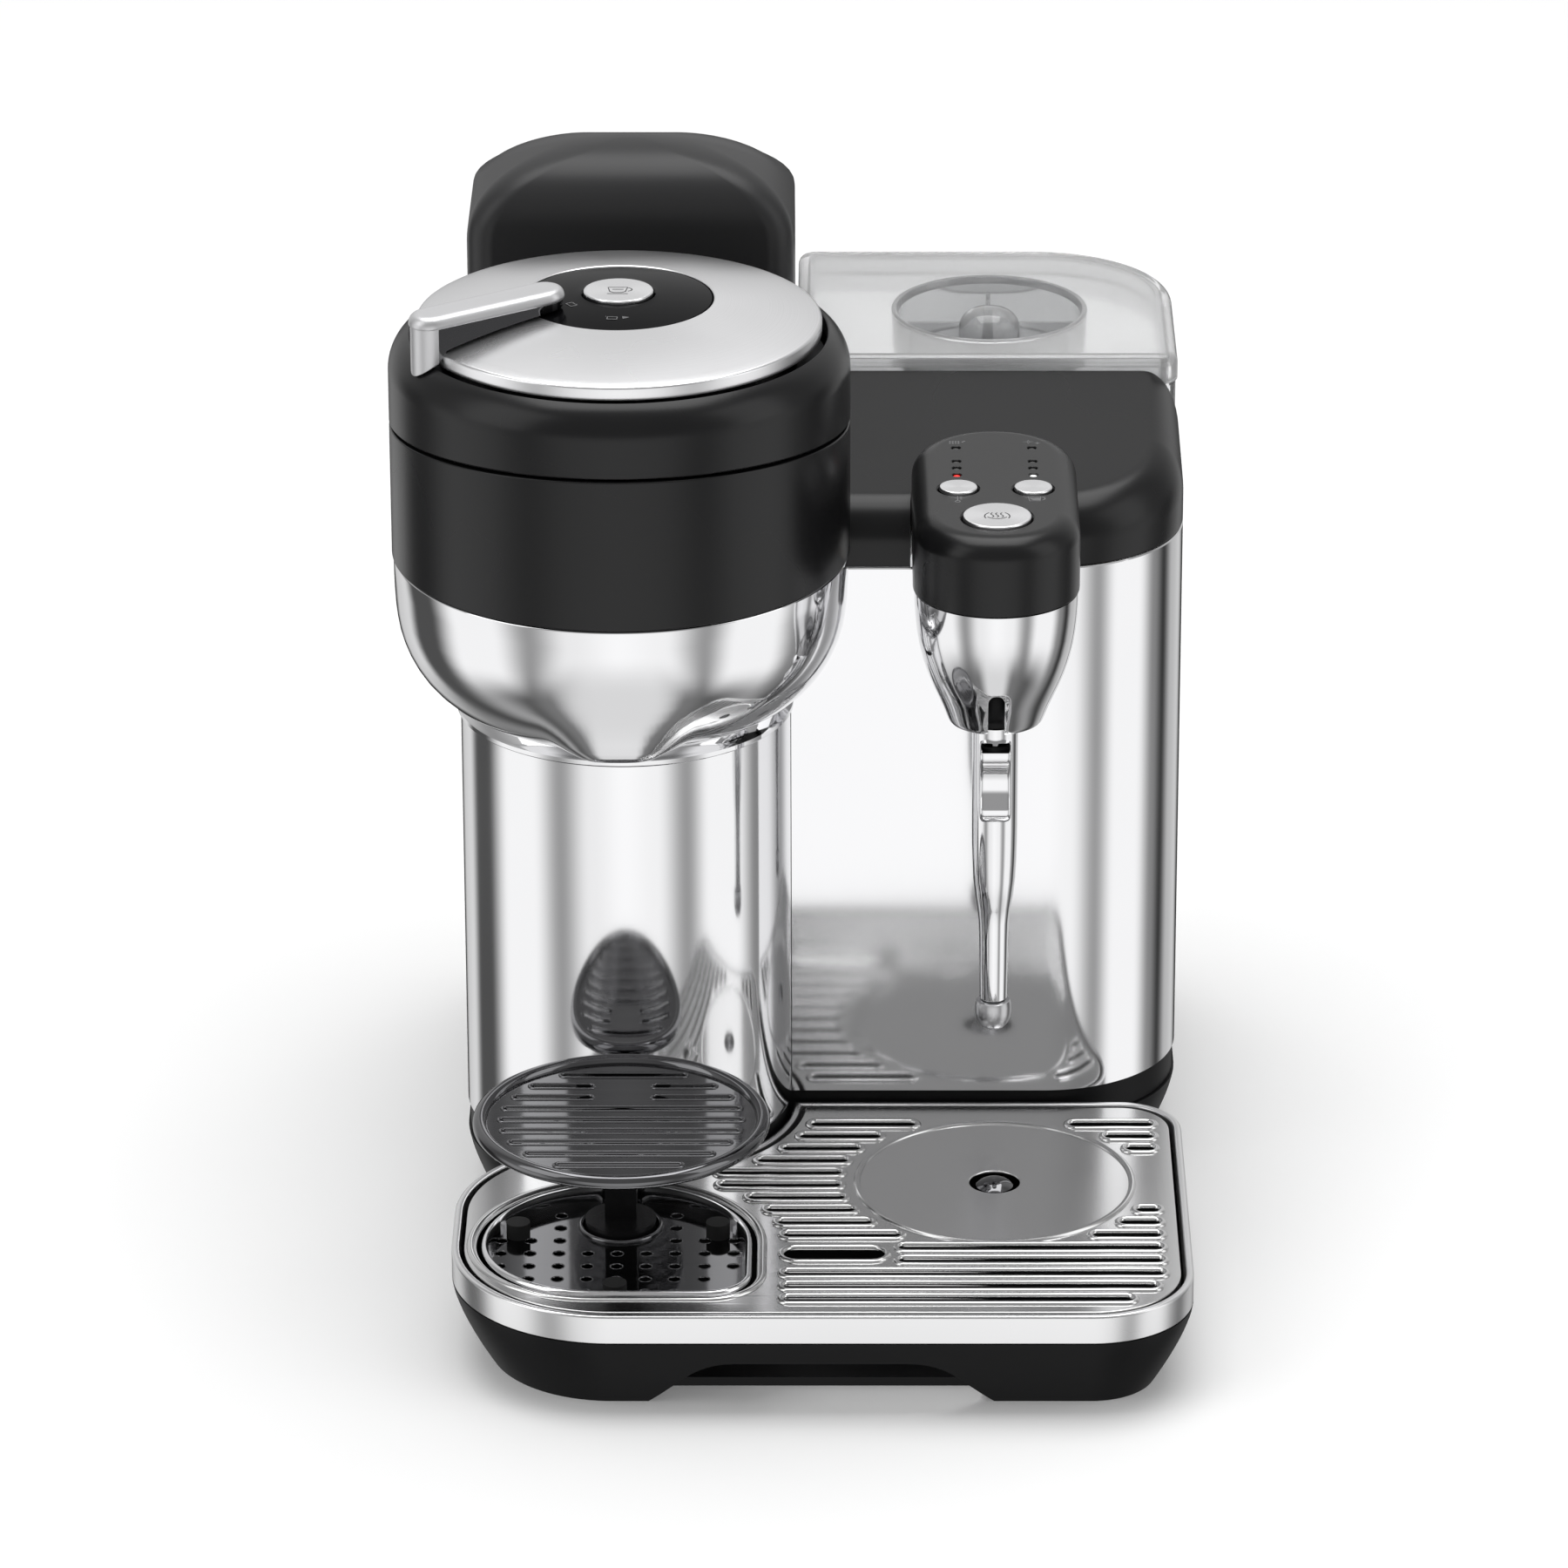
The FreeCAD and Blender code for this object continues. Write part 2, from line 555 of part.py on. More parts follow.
def make_band():
    """Side wall of the head up to the seam, with two hinge ears behind."""
    ring = tube(HEAD_X, HEAD_Y, BOWL_TOP, 300.0, HEAD_R, 2.6).cut(seam_cutter(0.0))
    ears = []
    for side in (-1, 1):
        x = HEAD_X + side * 24.0
        ear = Part.makeCylinder(6.0, 8.0, V(x - 4.0, HINGE_Y, HINGE_Z), V(1, 0, 0))
        ear = ear.fuse(box(x - 4.0, x + 4.0, HINGE_Y - 8.5, HINGE_Y + 6.0, HINGE_Z - 24.0, HINGE_Z))
        ears.append(ear.cut(rod(HEAD_X, HEAD_Y, 200, 300, HEAD_R - 1.5)))
    lid_room = rod(HEAD_X, HEAD_Y, 240, 320, HEAD_R + 0.6).common(seam_cutter(0.0))
    band = fuse_all([ring] + ears).cut(lid_room)
    return band.cut(hinge_rod(HINGE_PIN_R, 40.0))


def panel_zone():
    return box(HEAD_X + COLUMN_R + 0.2, 200, -100, DECK_BACK_Y, 0, 300)


def make_front_panel():
    sheet = prism(rear_wire(0.0, SKIRT_TOP), SKIRT_TOP, PANEL_TOP)
    sheet = sheet.cut(prism(rear_wire(1.2, SKIRT_TOP), SKIRT_TOP - 1, PANEL_TOP + 1))
    sheet = sheet.common(panel_zone()).cut(bowl_filled(0.6))
    sheet = sheet.cut(rod(HEAD_X, PANEL_Y, COLUMN_TOP - 0.6, COLUMN_TOP + 40.0, NECK_R + 0.3))
    return max(sheet.Solids, key=lambda s: s.Volume)


def deck_profile(drop):
    """Side view of the deck, a block under its sloped top, as a solid across the machine."""
    nose = 12.0 - drop
    y0, back = PANEL_Y + drop, DECK_BACK_Y + 1.0
    top0 = DECK_NOSE_Z - drop
    a, b = V(LEFT, y0, PANEL_TOP - 5), V(LEFT, y0, top0 - nose)
    mid = V(LEFT, y0 + nose * 0.25, top0 - nose * 0.28)
    c = V(LEFT, y0 + nose, top0 + nose * 0.2)
    d, e = V(LEFT, back, DECK_BACK_Z - drop), V(LEFT, back, PANEL_TOP - 5)
    wire = Part.Wire([Part.LineSegment(a, b).toShape(), Part.Arc(b, mid, c).toShape(),
                      Part.LineSegment(c, d).toShape(), Part.LineSegment(d, e).toShape(),
                      Part.LineSegment(e, a).toShape()])
    return Part.Face(wire).extrude(V(2 * WIDTH, 0, 0))


def make_deck():
    zone = box(HEAD_X + COLUMN_R + 1.5, 200, -100, DECK_BACK_Y, PANEL_TOP, 300)
    outer = prism(rear_wire(0.0, 200), PANEL_TOP, 280).common(deck_profile(0.0)).common(zone)
    inner_zone = box(HEAD_X + COLUMN_R + 4.0, 200, -100, DECK_BACK_Y - 2.5, PANEL_TOP - 1, 300)
    inner = prism(rear_wire(2.5, 200), PANEL_TOP - 1, 280).common(deck_profile(2.5)).common(inner_zone)
    deck = outer.cut(inner).cut(rod(HEAD_X, HEAD_Y, 200, 300, HEAD_R + 0.8))
    deck = deck.cut(stadium(STEAM_X, STEAM_Y, STEAM_BACK_Y, STEAM_R + 0.15, 200, 300))
    return max(deck.Solids, key=lambda s: s.Volume)


def make_rear_cover():
    """Black housing at the back left: a low box under the container and a tower behind the head."""
    right = HEAD_X + COLUMN_R + 0.8
    plan = prism(rear_wire(0.0, SKIRT_TOP), SKIRT_TOP, SEAT_Z)
    plan = plan.common(box(LEFT, right, 12.4, CONTAINER_Y1 + 2, 0, 300))
    tower = box(COLUMN_LEFT, right, 12.4, CONTAINER_Y0 - 1.2, SKIRT_TOP, 250.0)
    outer = plan.fuse(tower)
    low_in = prism(rear_wire(2.5, SKIRT_TOP), SKIRT_TOP - 1, SEAT_Z - 2.5)
    low_in = low_in.common(box(LEFT, right - 2.5, 0, CONTAINER_Y1 - 0.5, 0, 300))
    tower_in = box(COLUMN_LEFT + 2.5, right - 2.5, 0, CONTAINER_Y0 - 3.7, SKIRT_TOP - 1, 247.5)
    cover = outer.cut(low_in).cut(tower_in).cut(rod(HEAD_X, HEAD_Y, 185, 300, HEAD_R + 0.8))
    cover = cover.cut(rod(HEAD_X, PANEL_Y, COLUMN_TOP - 0.5, 215, NECK_R + 0.6))
    hinge_room = box(HEAD_X - 34, HEAD_X + 34, 0, HINGE_Y + 8.0, 240, 300)
    return cover.cut(hinge_room).cut(gland_rod(GLAND_R + 0.2, -8.0, 20.0))


def make_chassis():
    """Inner frame: floor plate, upright behind the column and a shelf that carries the tank."""
    floor = prism(rear_wire(8.0, 30), SKIRT_LOW + 0.5, SKIRT_LOW + 3.5)
    upright = box(-96.0, -14.0, 20.5, 23.5, SKIRT_LOW + 3.5, 180.0)
    shelf = prism(rear_wire(3.6, 30), SKIRT_TOP - 1.0, SKIRT_TOP + 2.5)
    shelf = shelf.common(box(4.0, 200, TANK_Y0 + 1.0, 300, 0, 100))
    posts = [box(x, x + 6, y, y + 6, SKIRT_LOW + 3.0, SKIRT_TOP) for x in (8, 90) for y in (80, 150)]
    return fuse_all([floor, upright, shelf] + posts)


save("rear_base_shell", make_rear_base())
save("housing_screws", make_screws())
save("rubber_feet", [rod(x, y, 0.0, 3.0, 9.0) for x, y in FOOT_SPOTS])
save("rear_base_skirt", make_skirt())
save("column_sleeve", make_column_sleeve())
save("column_neck", make_neck())
save("brew_bowl", make_bowl())
save("brew_head_band", make_band())
save("front_panel", make_front_panel())
save("deck_cover", make_deck())
save("rear_cover", make_rear_cover())
save("chassis_frame", make_chassis())


# ---------------------------------------------------------------- brew chamber and its drive
def make_chamber_base():
    """Plate across the head with a well for the capsule holder and a boss for its bearing."""
    plate = rod(HEAD_X, HEAD_Y, 262.0, 273.5, HEAD_R - 2.8)
    well = rod(HEAD_X, HEAD_Y, 228.0, 262.0, HOLDER_R + 6.0)
    hollow = rod(HEAD_X, HEAD_Y, 236.0, 300.0, HOLDER_R + 3.0)
    bearing_seat = rod(HEAD_X, HEAD_Y, 200.0, 300.0, 11.0)
    return plate.fuse(well).cut(hollow).cut(bearing_seat)


def make_capsule_holder():
    low = 239.0
    outside = [(0, low), (HOLDER_R, low), (HOLDER_R, HOLDER_TOP - 2), (HOLDER_R + 2, HOLDER_TOP - 2),
               (HOLDER_R + 2, HOLDER_TOP)]
    inside = [(HOLDER_R - 2.5, HOLDER_TOP), (HOLDER_R - 2.5, 250.0), (22.0, 242.5), (0, 242.5)]
    cup = spin(HEAD_X, HEAD_Y, outside + inside)
    return cup.fuse(rod(HEAD_X, HEAD_Y, PULLEY_Z + PULLEY_H, low, SHAFT_R))


def make_pulley(x, y, r, z0):
    """Flanged belt pulley."""
    return spin(x, y, [(0, z0), (r + 1.5, z0), (r + 1.5, z0 + 1), (r, z0 + 1), (r, z0 + PULLEY_H - 1),
                       (r + 1.5, z0 + PULLEY_H - 1), (r + 1.5, z0 + PULLEY_H), (0, z0 + PULLEY_H)])


def make_belt():
    """Flat belt round both pulleys, a hair off their faces."""
    gap, thick = 0.35, 1.2
    z0, z1 = PULLEY_Z + 1.5, PULLEY_Z + PULLEY_H - 1.5
    span = MOTOR_Y - HEAD_Y

    def loop(grow):
        r0, r1 = HOLDER_PULLEY_R + grow, MOTOR_PULLEY_R + grow
        lean = (r0 - r1) / span
        c, s = math.sqrt(1 - lean ** 2), lean
        side = [V(HEAD_X + r0 * c, HEAD_Y + r0 * s, z0), V(HEAD_X + r1 * c, MOTOR_Y + r1 * s, z0),
                V(HEAD_X - r1 * c, MOTOR_Y + r1 * s, z0), V(HEAD_X - r0 * c, HEAD_Y + r0 * s, z0)]
        return Part.Wire([
            Part.LineSegment(side[0], side[1]).toShape(),
            Part.Arc(side[1], V(HEAD_X, MOTOR_Y + r1, z0), side[2]).toShape(),
            Part.LineSegment(side[2], side[3]).toShape(),
            Part.Arc(side[3], V(HEAD_X, HEAD_Y - r0, z0), side[0]).toShape()])

    return prism(loop(gap + thick), z0, z1).cut(prism(loop(gap), z0 - 1, z1 + 1))


def make_motor():
    can = rod(HEAD_X, MOTOR_Y, 138.0, 200.0, MOTOR_R)
    collar = rod(HEAD_X, MOTOR_Y, 200.0, 203.0, 8.0)
    shaft = rod(HEAD_X, MOTOR_Y, 203.0, PULLEY_Z + PULLEY_H + 1.0, 2.5)
    ears = box(HEAD_X - 30, HEAD_X + 30, MOTOR_Y + 2, MOTOR_Y + 8, 140, 144)
    return fuse_all([can, collar, shaft, ears])


save("brew_chamber_base", make_chamber_base())
save("holder_bearing", rod(HEAD_X, HEAD_Y, 228.5, 235.5, 10.95).cut(
    rod(HEAD_X, HEAD_Y, 220, 240, SHAFT_R + 0.05)))
save("capsule_holder", make_capsule_holder())
save("holder_pulley", make_pulley(HEAD_X, HEAD_Y, HOLDER_PULLEY_R, PULLEY_Z))
save("motor_pulley", make_pulley(HEAD_X, MOTOR_Y, MOTOR_PULLEY_R, PULLEY_Z).cut(
    rod(HEAD_X, MOTOR_Y, 200, 230, 2.55)))
save("drive_belt", make_belt())
save("spin_motor", make_motor())


# ---------------------------------------------------------------- lid
def shoulder_points(grow):
    """Outline of the lid's rounded shoulder, from its upright side to the disc's gap."""
    centre_r, r = HEAD_R - SHOULDER_R, SHOULDER_R + grow
    angles = [math.radians(10.0 * i) for i in range(7)]
    arc = [(centre_r + r * math.cos(a), SHOULDER_Z + r * math.sin(a)) for a in angles]
    return [(HEAD_R + grow, 262.0)] + arc


def make_lid_shell():
    """Black lid ring with a rounded shoulder and a knuckle for the hinge."""
    outer = shoulder_points(0.0)
    inner = [(outer[-1][0], outer[-1][1] - 3.0), (HEAD_R - 3.0, SHOULDER_Z + 1.0), (HEAD_R - 3.0, 262.0)]
    ring = spin(HEAD_X, HEAD_Y, outer + inner).common(seam_cutter(SEAM_GAP))
    knuckle = hinge_rod(5.0, 19.0)
    arm = box(HEAD_X - 19, HEAD_X + 19, HINGE_Y - 13.0, HINGE_Y, HINGE_Z, HINGE_Z + 6.0)
    arm = arm.cut(rod(HEAD_X, HEAD_Y, 200, 320, HEAD_R - 2.0)).common(seam_cutter(SEAM_GAP))
    knuckle = knuckle.cut(rod(HEAD_X, HEAD_Y, 200, SEAM_Z, HEAD_R + 0.3).cut(seam_cutter(SEAM_GAP)))
    lid = fuse_all([ring, arm, knuckle])
    return lid.cut(hinge_rod(HINGE_PIN_R + 0.05, 30.0))


def dome_slice(r0, r1, sink, thick, lip=0.0):
    """Ring cut from the lid's dome between two radii, with an optional turned-down edge."""
    steps = 8
    radii = [r0 + (r1 - r0) * i / steps for i in range(steps + 1)]
    top = [(r, dome_z(r) - sink) for r in radii]
    low = [(r, dome_z(r) - sink - thick) for r in radii]
    if lip:
        low[-1] = (r1 - 1.2, dome_z(r1) - sink - thick)
        low += [(r1 - 1.2, dome_z(r1) - lip), (r1, dome_z(r1) - lip)]
    return spin(HEAD_X, HEAD_Y, top + low[::-1])


def make_liner():
    """Inner lid: a plate with a hub for the piercing plate, and a tube up to the disc."""
    plate = rod(HEAD_X, HEAD_Y, 292.0, 294.5, HEAD_R - 3.2)
    hub = rod(HEAD_X, HEAD_Y, 286.0, 310.0, 12.0)
    tower = tube(HEAD_X, HEAD_Y, 294.0, dome_z(40.0) - 2.0, 42.0, 2.0)
    whole = fuse_all([plate, hub, tower]).common(seam_cutter(SEAM_GAP))
    return whole.cut(rod(HEAD_X, HEAD_Y, 270, 308, 5.05))


def lever_block(r0, r1, half, z0, z1):
    """Bar along the lever's own direction, drawn before the turn."""
    bar = prism(rounded(r0, r1, -half, half, (half - 0.1,) * 4), z0, z1)
    return bar


def make_lever():
    """Bar over the disc, a leg over the shoulder and a thin web down through the disc's gap."""
    blade = lever_block(LEVER_R0, LEVER_R1, LEVER_HALF_WIDTH, DISC_EDGE_Z + 1.0, 334.0)
    under = spin(0, 0, [(0, 300), (DISC_R + 0.4, 300), (DISC_R + 0.4, dome_z(DISC_R) + 0.6)]
                 + [(r, dome_z(r) + 0.6) for r in (50.0, 35.0, 20.0, 5.0)] + [(0, dome_z(0) + 0.6)])
    top = Part.Face(Part.makePolygon([
        V(15, -20, 331.2), V(75, -20, 328.0), V(75, -20, 340), V(15, -20, 340), V(15, -20, 331.2)]))
    blade = blade.cut(under).cut(top.extrude(V(0, 40, 0)))
    leg_r0 = LEVER_R1 - 2 * LEVER_HALF_WIDTH
    leg = lever_block(leg_r0, LEVER_R1, LEVER_HALF_WIDTH, SHOULDER_Z, DISC_EDGE_Z + 4.0)
    shoulder = spin(0, 0, [(0, 290)] + shoulder_points(0.7) + [(0, SHOULDER_Z + SHOULDER_R + 0.7)])
    leg = leg.cut(shoulder).cut(rod(0, 0, 290, 330, DISC_R + 0.4))
    web = tube(0, 0, 303.0, DISC_EDGE_Z + 2.0, DISC_R + 1.3, 0.8)
    web = web.common(box(50, 80, -4.5, 4.5, 290, 330))
    lever = fuse_all([blade, leg, web])
    lever.rotate(V(0, 0, 0), V(0, 0, 1), LEVER_ANGLE)
    lever.translate(V(HEAD_X, HEAD_Y, 0))
    return lever


def make_lock_ring():
    """Ring under the disc that turns with the lever, with three bayonet claws."""
    ring = tube(HEAD_X, HEAD_Y, 300.0, 303.0, DISC_R + 1.6, 9.0)
    claws = []
    for i in range(3):
        claw = box(50, DISC_R + 1.0, -6, 6, 296.5, 300.0)
        claw.rotate(V(0, 0, 0), V(0, 0, 1), 40.0 + 120.0 * i)
        claw.translate(V(HEAD_X, HEAD_Y, 0))
        claws.append(claw.cut(rod(HEAD_X, HEAD_Y, 290, 310, DISC_R - 7.4)))
    return fuse_all([ring] + claws)


def make_piercing_plate():
    plate = rod(HEAD_X, HEAD_Y, 276.0, 279.0, HOLDER_R - 1.0)
    shaft = rod(HEAD_X, HEAD_Y, 279.0, 307.0, 5.0)
    pins = []
    for i in range(8):
        a = math.radians(45.0 * i)
        pins.append(rod(HEAD_X + 26 * math.cos(a), HEAD_Y + 26 * math.sin(a), 274.0, 276.0, 1.2))
    return fuse_all([plate, shaft] + pins)


def make_button(x, y, r, top, height, stem_r, stem_low):
    cap = rod(x, y, top - height, top, r)
    rim = cap.Edges[0] if abs(cap.Edges[0].BoundBox.ZMin - top) < 1e-6 else cap.Edges[2]
    cap = cap.makeFillet(0.5, [rim])
    return cap.fuse(rod(x, y, stem_low, top - height, stem_r))


insert = dome_slice(0.0, INSERT_R, 0.3, 3.0)
save("lid_shell", make_lid_shell())
save("lid_disc", dome_slice(INSERT_R + 0.3, DISC_R, 0.0, 1.2, 4.0))
save("lid_insert", insert.cut(rod(HEAD_X, HEAD_Y, 300, 330, COFFEE_BUTTON_R + CLEAR)))
save("lid_inner_liner", make_liner())
save("lid_hinge_pin", hinge_rod(HINGE_PIN_R, 28.0))
save("lock_lever", make_lever())
save("lock_ring", make_lock_ring())
save("coffee_button", make_button(HEAD_X, HEAD_Y, COFFEE_BUTTON_R, dome_z(0) + 0.7, 4.0, 3.0, 313.0))
save("piercing_plate", make_piercing_plate())


# ---------------------------------------------------------------- steam head and wand
def steam_button_spots():
    return (("steam_button", STEAM_X, STEAM_BUTTON_Y, STEAM_BUTTON_R),
            ("milk_temperature_button", STEAM_X - SMALL_BUTTON_DX, SMALL_BUTTON_Y, SMALL_BUTTON_R),
            ("milk_froth_button", STEAM_X + SMALL_BUTTON_DX, SMALL_BUTTON_Y, SMALL_BUTTON_R))


def led_spots():
    return [(STEAM_X + side * 12.0, y) for side in (-1, 1) for y in LED_YS]


def make_steam_cover():
    outer = stadium(STEAM_X, STEAM_Y, STEAM_BACK_Y, STEAM_R, STEAM_LOW, STEAM_TOP)
    rims = [e for e in outer.Edges if abs(e.BoundBox.ZMin - STEAM_TOP) < 1e-6]
    outer = outer.makeFillet(7.5, rims)
    inner = stadium(STEAM_X, STEAM_Y, STEAM_BACK_Y, STEAM_R - 3.0, STEAM_LOW - 1, STEAM_TOP - 3.0)
    tops = [e for e in inner.Edges if abs(e.BoundBox.ZMin - (STEAM_TOP - 3.0)) < 1e-6]
    cover = outer.cut(inner.makeFillet(5.0, tops))
    cuts = [rod(x, y, 240, 270, r + CLEAR) for _, x, y, r in steam_button_spots()]
    cuts += [rod(x, y, 240, 270, 1.5) for x, y in led_spots()]
    return cover.cut(Part.makeCompound(cuts))


def steam_cup_profile(inset):
    points = [(25.6, 231.8), (25.0, 224.0), (23.4, 215.0), (20.6, 206.0), (17.8, 198.0), (15.9, 192.0),
              (15.0, 188.5)]
    return [(r - inset, z) for r, z in points]


def make_steam_cup():
    cup = spin(STEAM_X, STEAM_Y, steam_cup_profile(0.0) + steam_cup_profile(1.5)[::-1])
    return cup.cut(box(STEAM_X - 2.7, STEAM_X + 2.7, STEAM_Y - 30, STEAM_Y, 180, 200.5))


def make_wand():
    """Polished wand that hangs from a ball pivot, with a finger tab at its front."""
    ball = Part.makeSphere(10.5, V(STEAM_X, STEAM_Y, WAND_PIVOT_Z))
    sheath = spin(STEAM_X, STEAM_Y, [(0, 196), (WAND_R, 196), (WAND_R, 150), (6.6, 135), (4.6, 120),
                                     (4.4, WAND_TIP_Z + 10.0), (0, WAND_TIP_Z + 10.0)])
    tab = box(STEAM_X - 5, STEAM_X + 5, STEAM_Y - 12.5, STEAM_Y, 158, 180)
    tab = tab.cut(Part.makeCylinder(13.0, 20.0, V(STEAM_X - 10, STEAM_Y - 17.5, 158), V(1, 0, 0)))
    trunnion = Part.makeCylinder(2.0, 25.0, V(STEAM_X - 12.5, STEAM_Y, WAND_PIVOT_Z), V(1, 0, 0))
    return fuse_all([ball, sheath, tab, trunnion])


def make_wand_tip():
    tip = spin(STEAM_X, STEAM_Y, [(0, WAND_TIP_Z), (3.0, WAND_TIP_Z), (5.0, WAND_TIP_Z + 2.5),
                                  (5.8, WAND_TIP_Z + 5.0), (5.4, WAND_TIP_Z + 9.8), (0, WAND_TIP_Z + 9.8)])
    return tip.cut(rod(STEAM_X, STEAM_Y, WAND_TIP_Z - 2.0, WAND_TIP_Z + 4.0, 0.8))


save("steam_head_cover", make_steam_cover())
save("steam_head_cup", make_steam_cup())
for name, x, y, r in steam_button_spots():
    save(name, make_button(x, y, r, STEAM_TOP + 0.9, 3.4, 1.8, 245.0))
save("status_leds", [rod(x, y, 245.0, STEAM_TOP + 0.1, 1.35) for x, y in led_spots()])
save("steam_control_board", box(STEAM_X - 18, STEAM_X + 18, -75, -2, 241.5, 243.1))
save("steam_wand", make_wand())
save("wand_tip", make_wand_tip())


# ---------------------------------------------------------------- water tank
def tank_wire(inset, z):
    corner = max(REAR_CORNER_R - inset, 1.0)
    small = max(5.0 - inset, 1.0)
    radii = (small, small, corner, small)
    return rounded(TANK_X0 + inset, TANK_X1 - inset, TANK_Y0 + inset, TANK_Y1 - inset, radii, z)


def make_tank():
    tank = prism(tank_wire(0.0, TANK_Z0), TANK_Z0, TANK_Z1)
    tank = tank.cut(prism(tank_wire(TANK_WALL, TANK_Z0), TANK_Z0 + 3.0, TANK_Z1 + 1))
    return tank.cut(rod(VALVE_X, VALVE_Y, TANK_Z0 - 1, TANK_Z0 + 5, VALVE_R + 1.0))


def make_tank_lid():
    """Clear lid: a plate with a downward rim, a round dish and a domed knob in it."""
    low = TANK_Z1 + CLEAR
    lid = prism(tank_wire(-0.6, low), low, TANK_LID_TOP)
    lid = lid.common(box(LEFT, RIGHT, FRONT, REAR, 0, 400))
    lid = lid.cut(prism(tank_wire(2.2, low), low - 1, TANK_LID_TOP - 2.4))
    plug = prism(tank_wire(TANK_WALL + CLEAR, low), TANK_Z1 - 5.0, TANK_LID_TOP - 2.0)
    plug = plug.cut(prism(tank_wire(TANK_WALL + CLEAR + 2.0, low), TANK_Z1 - 6.0, TANK_LID_TOP - 2.0))
    dish_floor = TANK_Z1 - 6.0
    dish = rod(KNOB_X, KNOB_Y, dish_floor - 2.0, TANK_LID_TOP - 1.0, DISH_R + 2.0)
    depth = TANK_LID_TOP - dish_floor
    hollow = Part.makeCone(DISH_R - 2.0, DISH_R, depth, V(KNOB_X, KNOB_Y, dish_floor))
    knob = rod(KNOB_X, KNOB_Y, dish_floor - 1.0, TANK_LID_TOP - 5.0, 10.0)
    cap = Part.makeSphere(12.0, V(KNOB_X, KNOB_Y, TANK_LID_TOP - 11.6)).common(
        rod(KNOB_X, KNOB_Y, TANK_LID_TOP - 5.0, TANK_LID_TOP + 5, 10.0))
    reach, half = DISH_R - 1.0, 0.7
    web_low, web_top = dish_floor - 1.0, TANK_LID_TOP - 5.0
    webs = box(KNOB_X - reach, KNOB_X + reach, KNOB_Y - half, KNOB_Y + half, web_low, web_top)
    webs = webs.fuse(box(KNOB_X - half, KNOB_X + half, KNOB_Y, KNOB_Y + reach, web_low, web_top))
    return lid.fuse(plug).fuse(dish).cut(hollow).fuse(webs).fuse(knob).fuse(cap)


save("water_tank", make_tank())
save("tank_lid", make_tank_lid())
save("tank_seat_valve", rod(VALVE_X, VALVE_Y, SKIRT_TOP + 2.5, TANK_Z0 + 7.0, VALVE_R).cut(
    rod(VALVE_X, VALVE_Y, 30, 60, 3.0)))


# ---------------------------------------------------------------- used-capsule container
def container_side(inset):
    """Side view of the container as a solid across the machine."""
    y0, y1 = CONTAINER_Y0 + inset, CONTAINER_Y1 - inset
    z0, top = CONTAINER_Z0 + inset, CONTAINER_TOP - inset
    a, b = V(LEFT, y0, z0), V(LEFT, y0, 303.0)
    mid, c = V(LEFT, y0 + 8.5, 322.0 - inset), V(LEFT, CONTAINER_CREST_Y, top)
    d, e, f = V(LEFT, y1 - 12.0, 301.0 - inset), V(LEFT, y1, 286.0), V(LEFT, y1, z0)
    wire = Part.Wire([Part.LineSegment(a, b).toShape(), Part.Arc(b, mid, c).toShape(),
                      Part.LineSegment(c, d).toShape(), Part.LineSegment(d, e).toShape(),
                      Part.LineSegment(e, f).toShape(), Part.LineSegment(f, a).toShape()])
    return Part.Face(wire).extrude(V(2 * WIDTH, 0, 0))


def container_front(inset):
    """Front view of the container: upright sides and a broad arch, as a solid along the machine."""
    half, x = 52.6 - inset, HEAD_X + 0.9
    z0, top = CONTAINER_Z0 + inset, CONTAINER_TOP - inset
    y = FRONT
    a, b = V(x - half, y, z0), V(x - half, y, top - 30.0)
    c, m = V(x - 26.0, y, top - 2.2), V(x - 43.0 + inset, y, top - 9.0)
    m2, d = V(x + 43.0 - inset, y, top - 9.0), V(x + 26.0, y, top - 2.2)
    e, f = V(x + half, y, top - 30.0), V(x + half, y, z0)
    wire = Part.Wire([Part.LineSegment(a, b).toShape(), Part.Arc(b, m, c).toShape(),
                      Part.Arc(c, V(x, y, top), d).toShape(), Part.Arc(d, m2, e).toShape(),
                      Part.LineSegment(e, f).toShape(), Part.LineSegment(f, a).toShape()])
    return Part.Face(wire).extrude(V(0, 2 * DEPTH, 0))


def make_container():
    outer = container_side(0.0).common(container_front(0.0)).common(prism(rear_wire(1.0, 0), 0, 400))
    inner = container_side(2.5).common(container_front(2.5)).common(prism(rear_wire(3.5, 0), 0, 400))
    window = box(HEAD_X - 34, HEAD_X + 34, CONTAINER_Y0 - 5, CONTAINER_Y0 + 8, 256.0, 296.0)
    return outer.cut(inner).cut(window)


save("capsule_container", make_container())


# ---------------------------------------------------------------- works inside the rear body
def make_hoses():
    """Hoses: tank seat to pump, pump to meter, meter to heater, heater to the brew head."""
    routes = [
        [(VALVE_X, VALVE_Y, 33.5), (VALVE_X, VALVE_Y, 36.9)],
        [(36.0, 62.3, 56.0), (36.0, 66.0, 56.0), (36.0, 66.0, 100.0), (36.0, 62.5, 100.0)],
        [(95.0, 36.0, 63.0), (95.0, 36.0, 76.0), (84.0, 44.0, 84.0), (84.0, 44.0, 98.0), (80.5, 44.0, 98.0)],
        [(50.0, 45.0, 185.5), (50.0, 45.0, 212.0), (24.0, 45.0, 212.0)],
    ]
    return [pipe(route, HOSE_R) for route in routes]


def make_solenoid():
    body = box(84, 106, 34, 56, 165, 190)
    return body.fuse(rod(95, 45, 190, 206, 8)).fuse(rod(95, 45, 158, 165, 4))


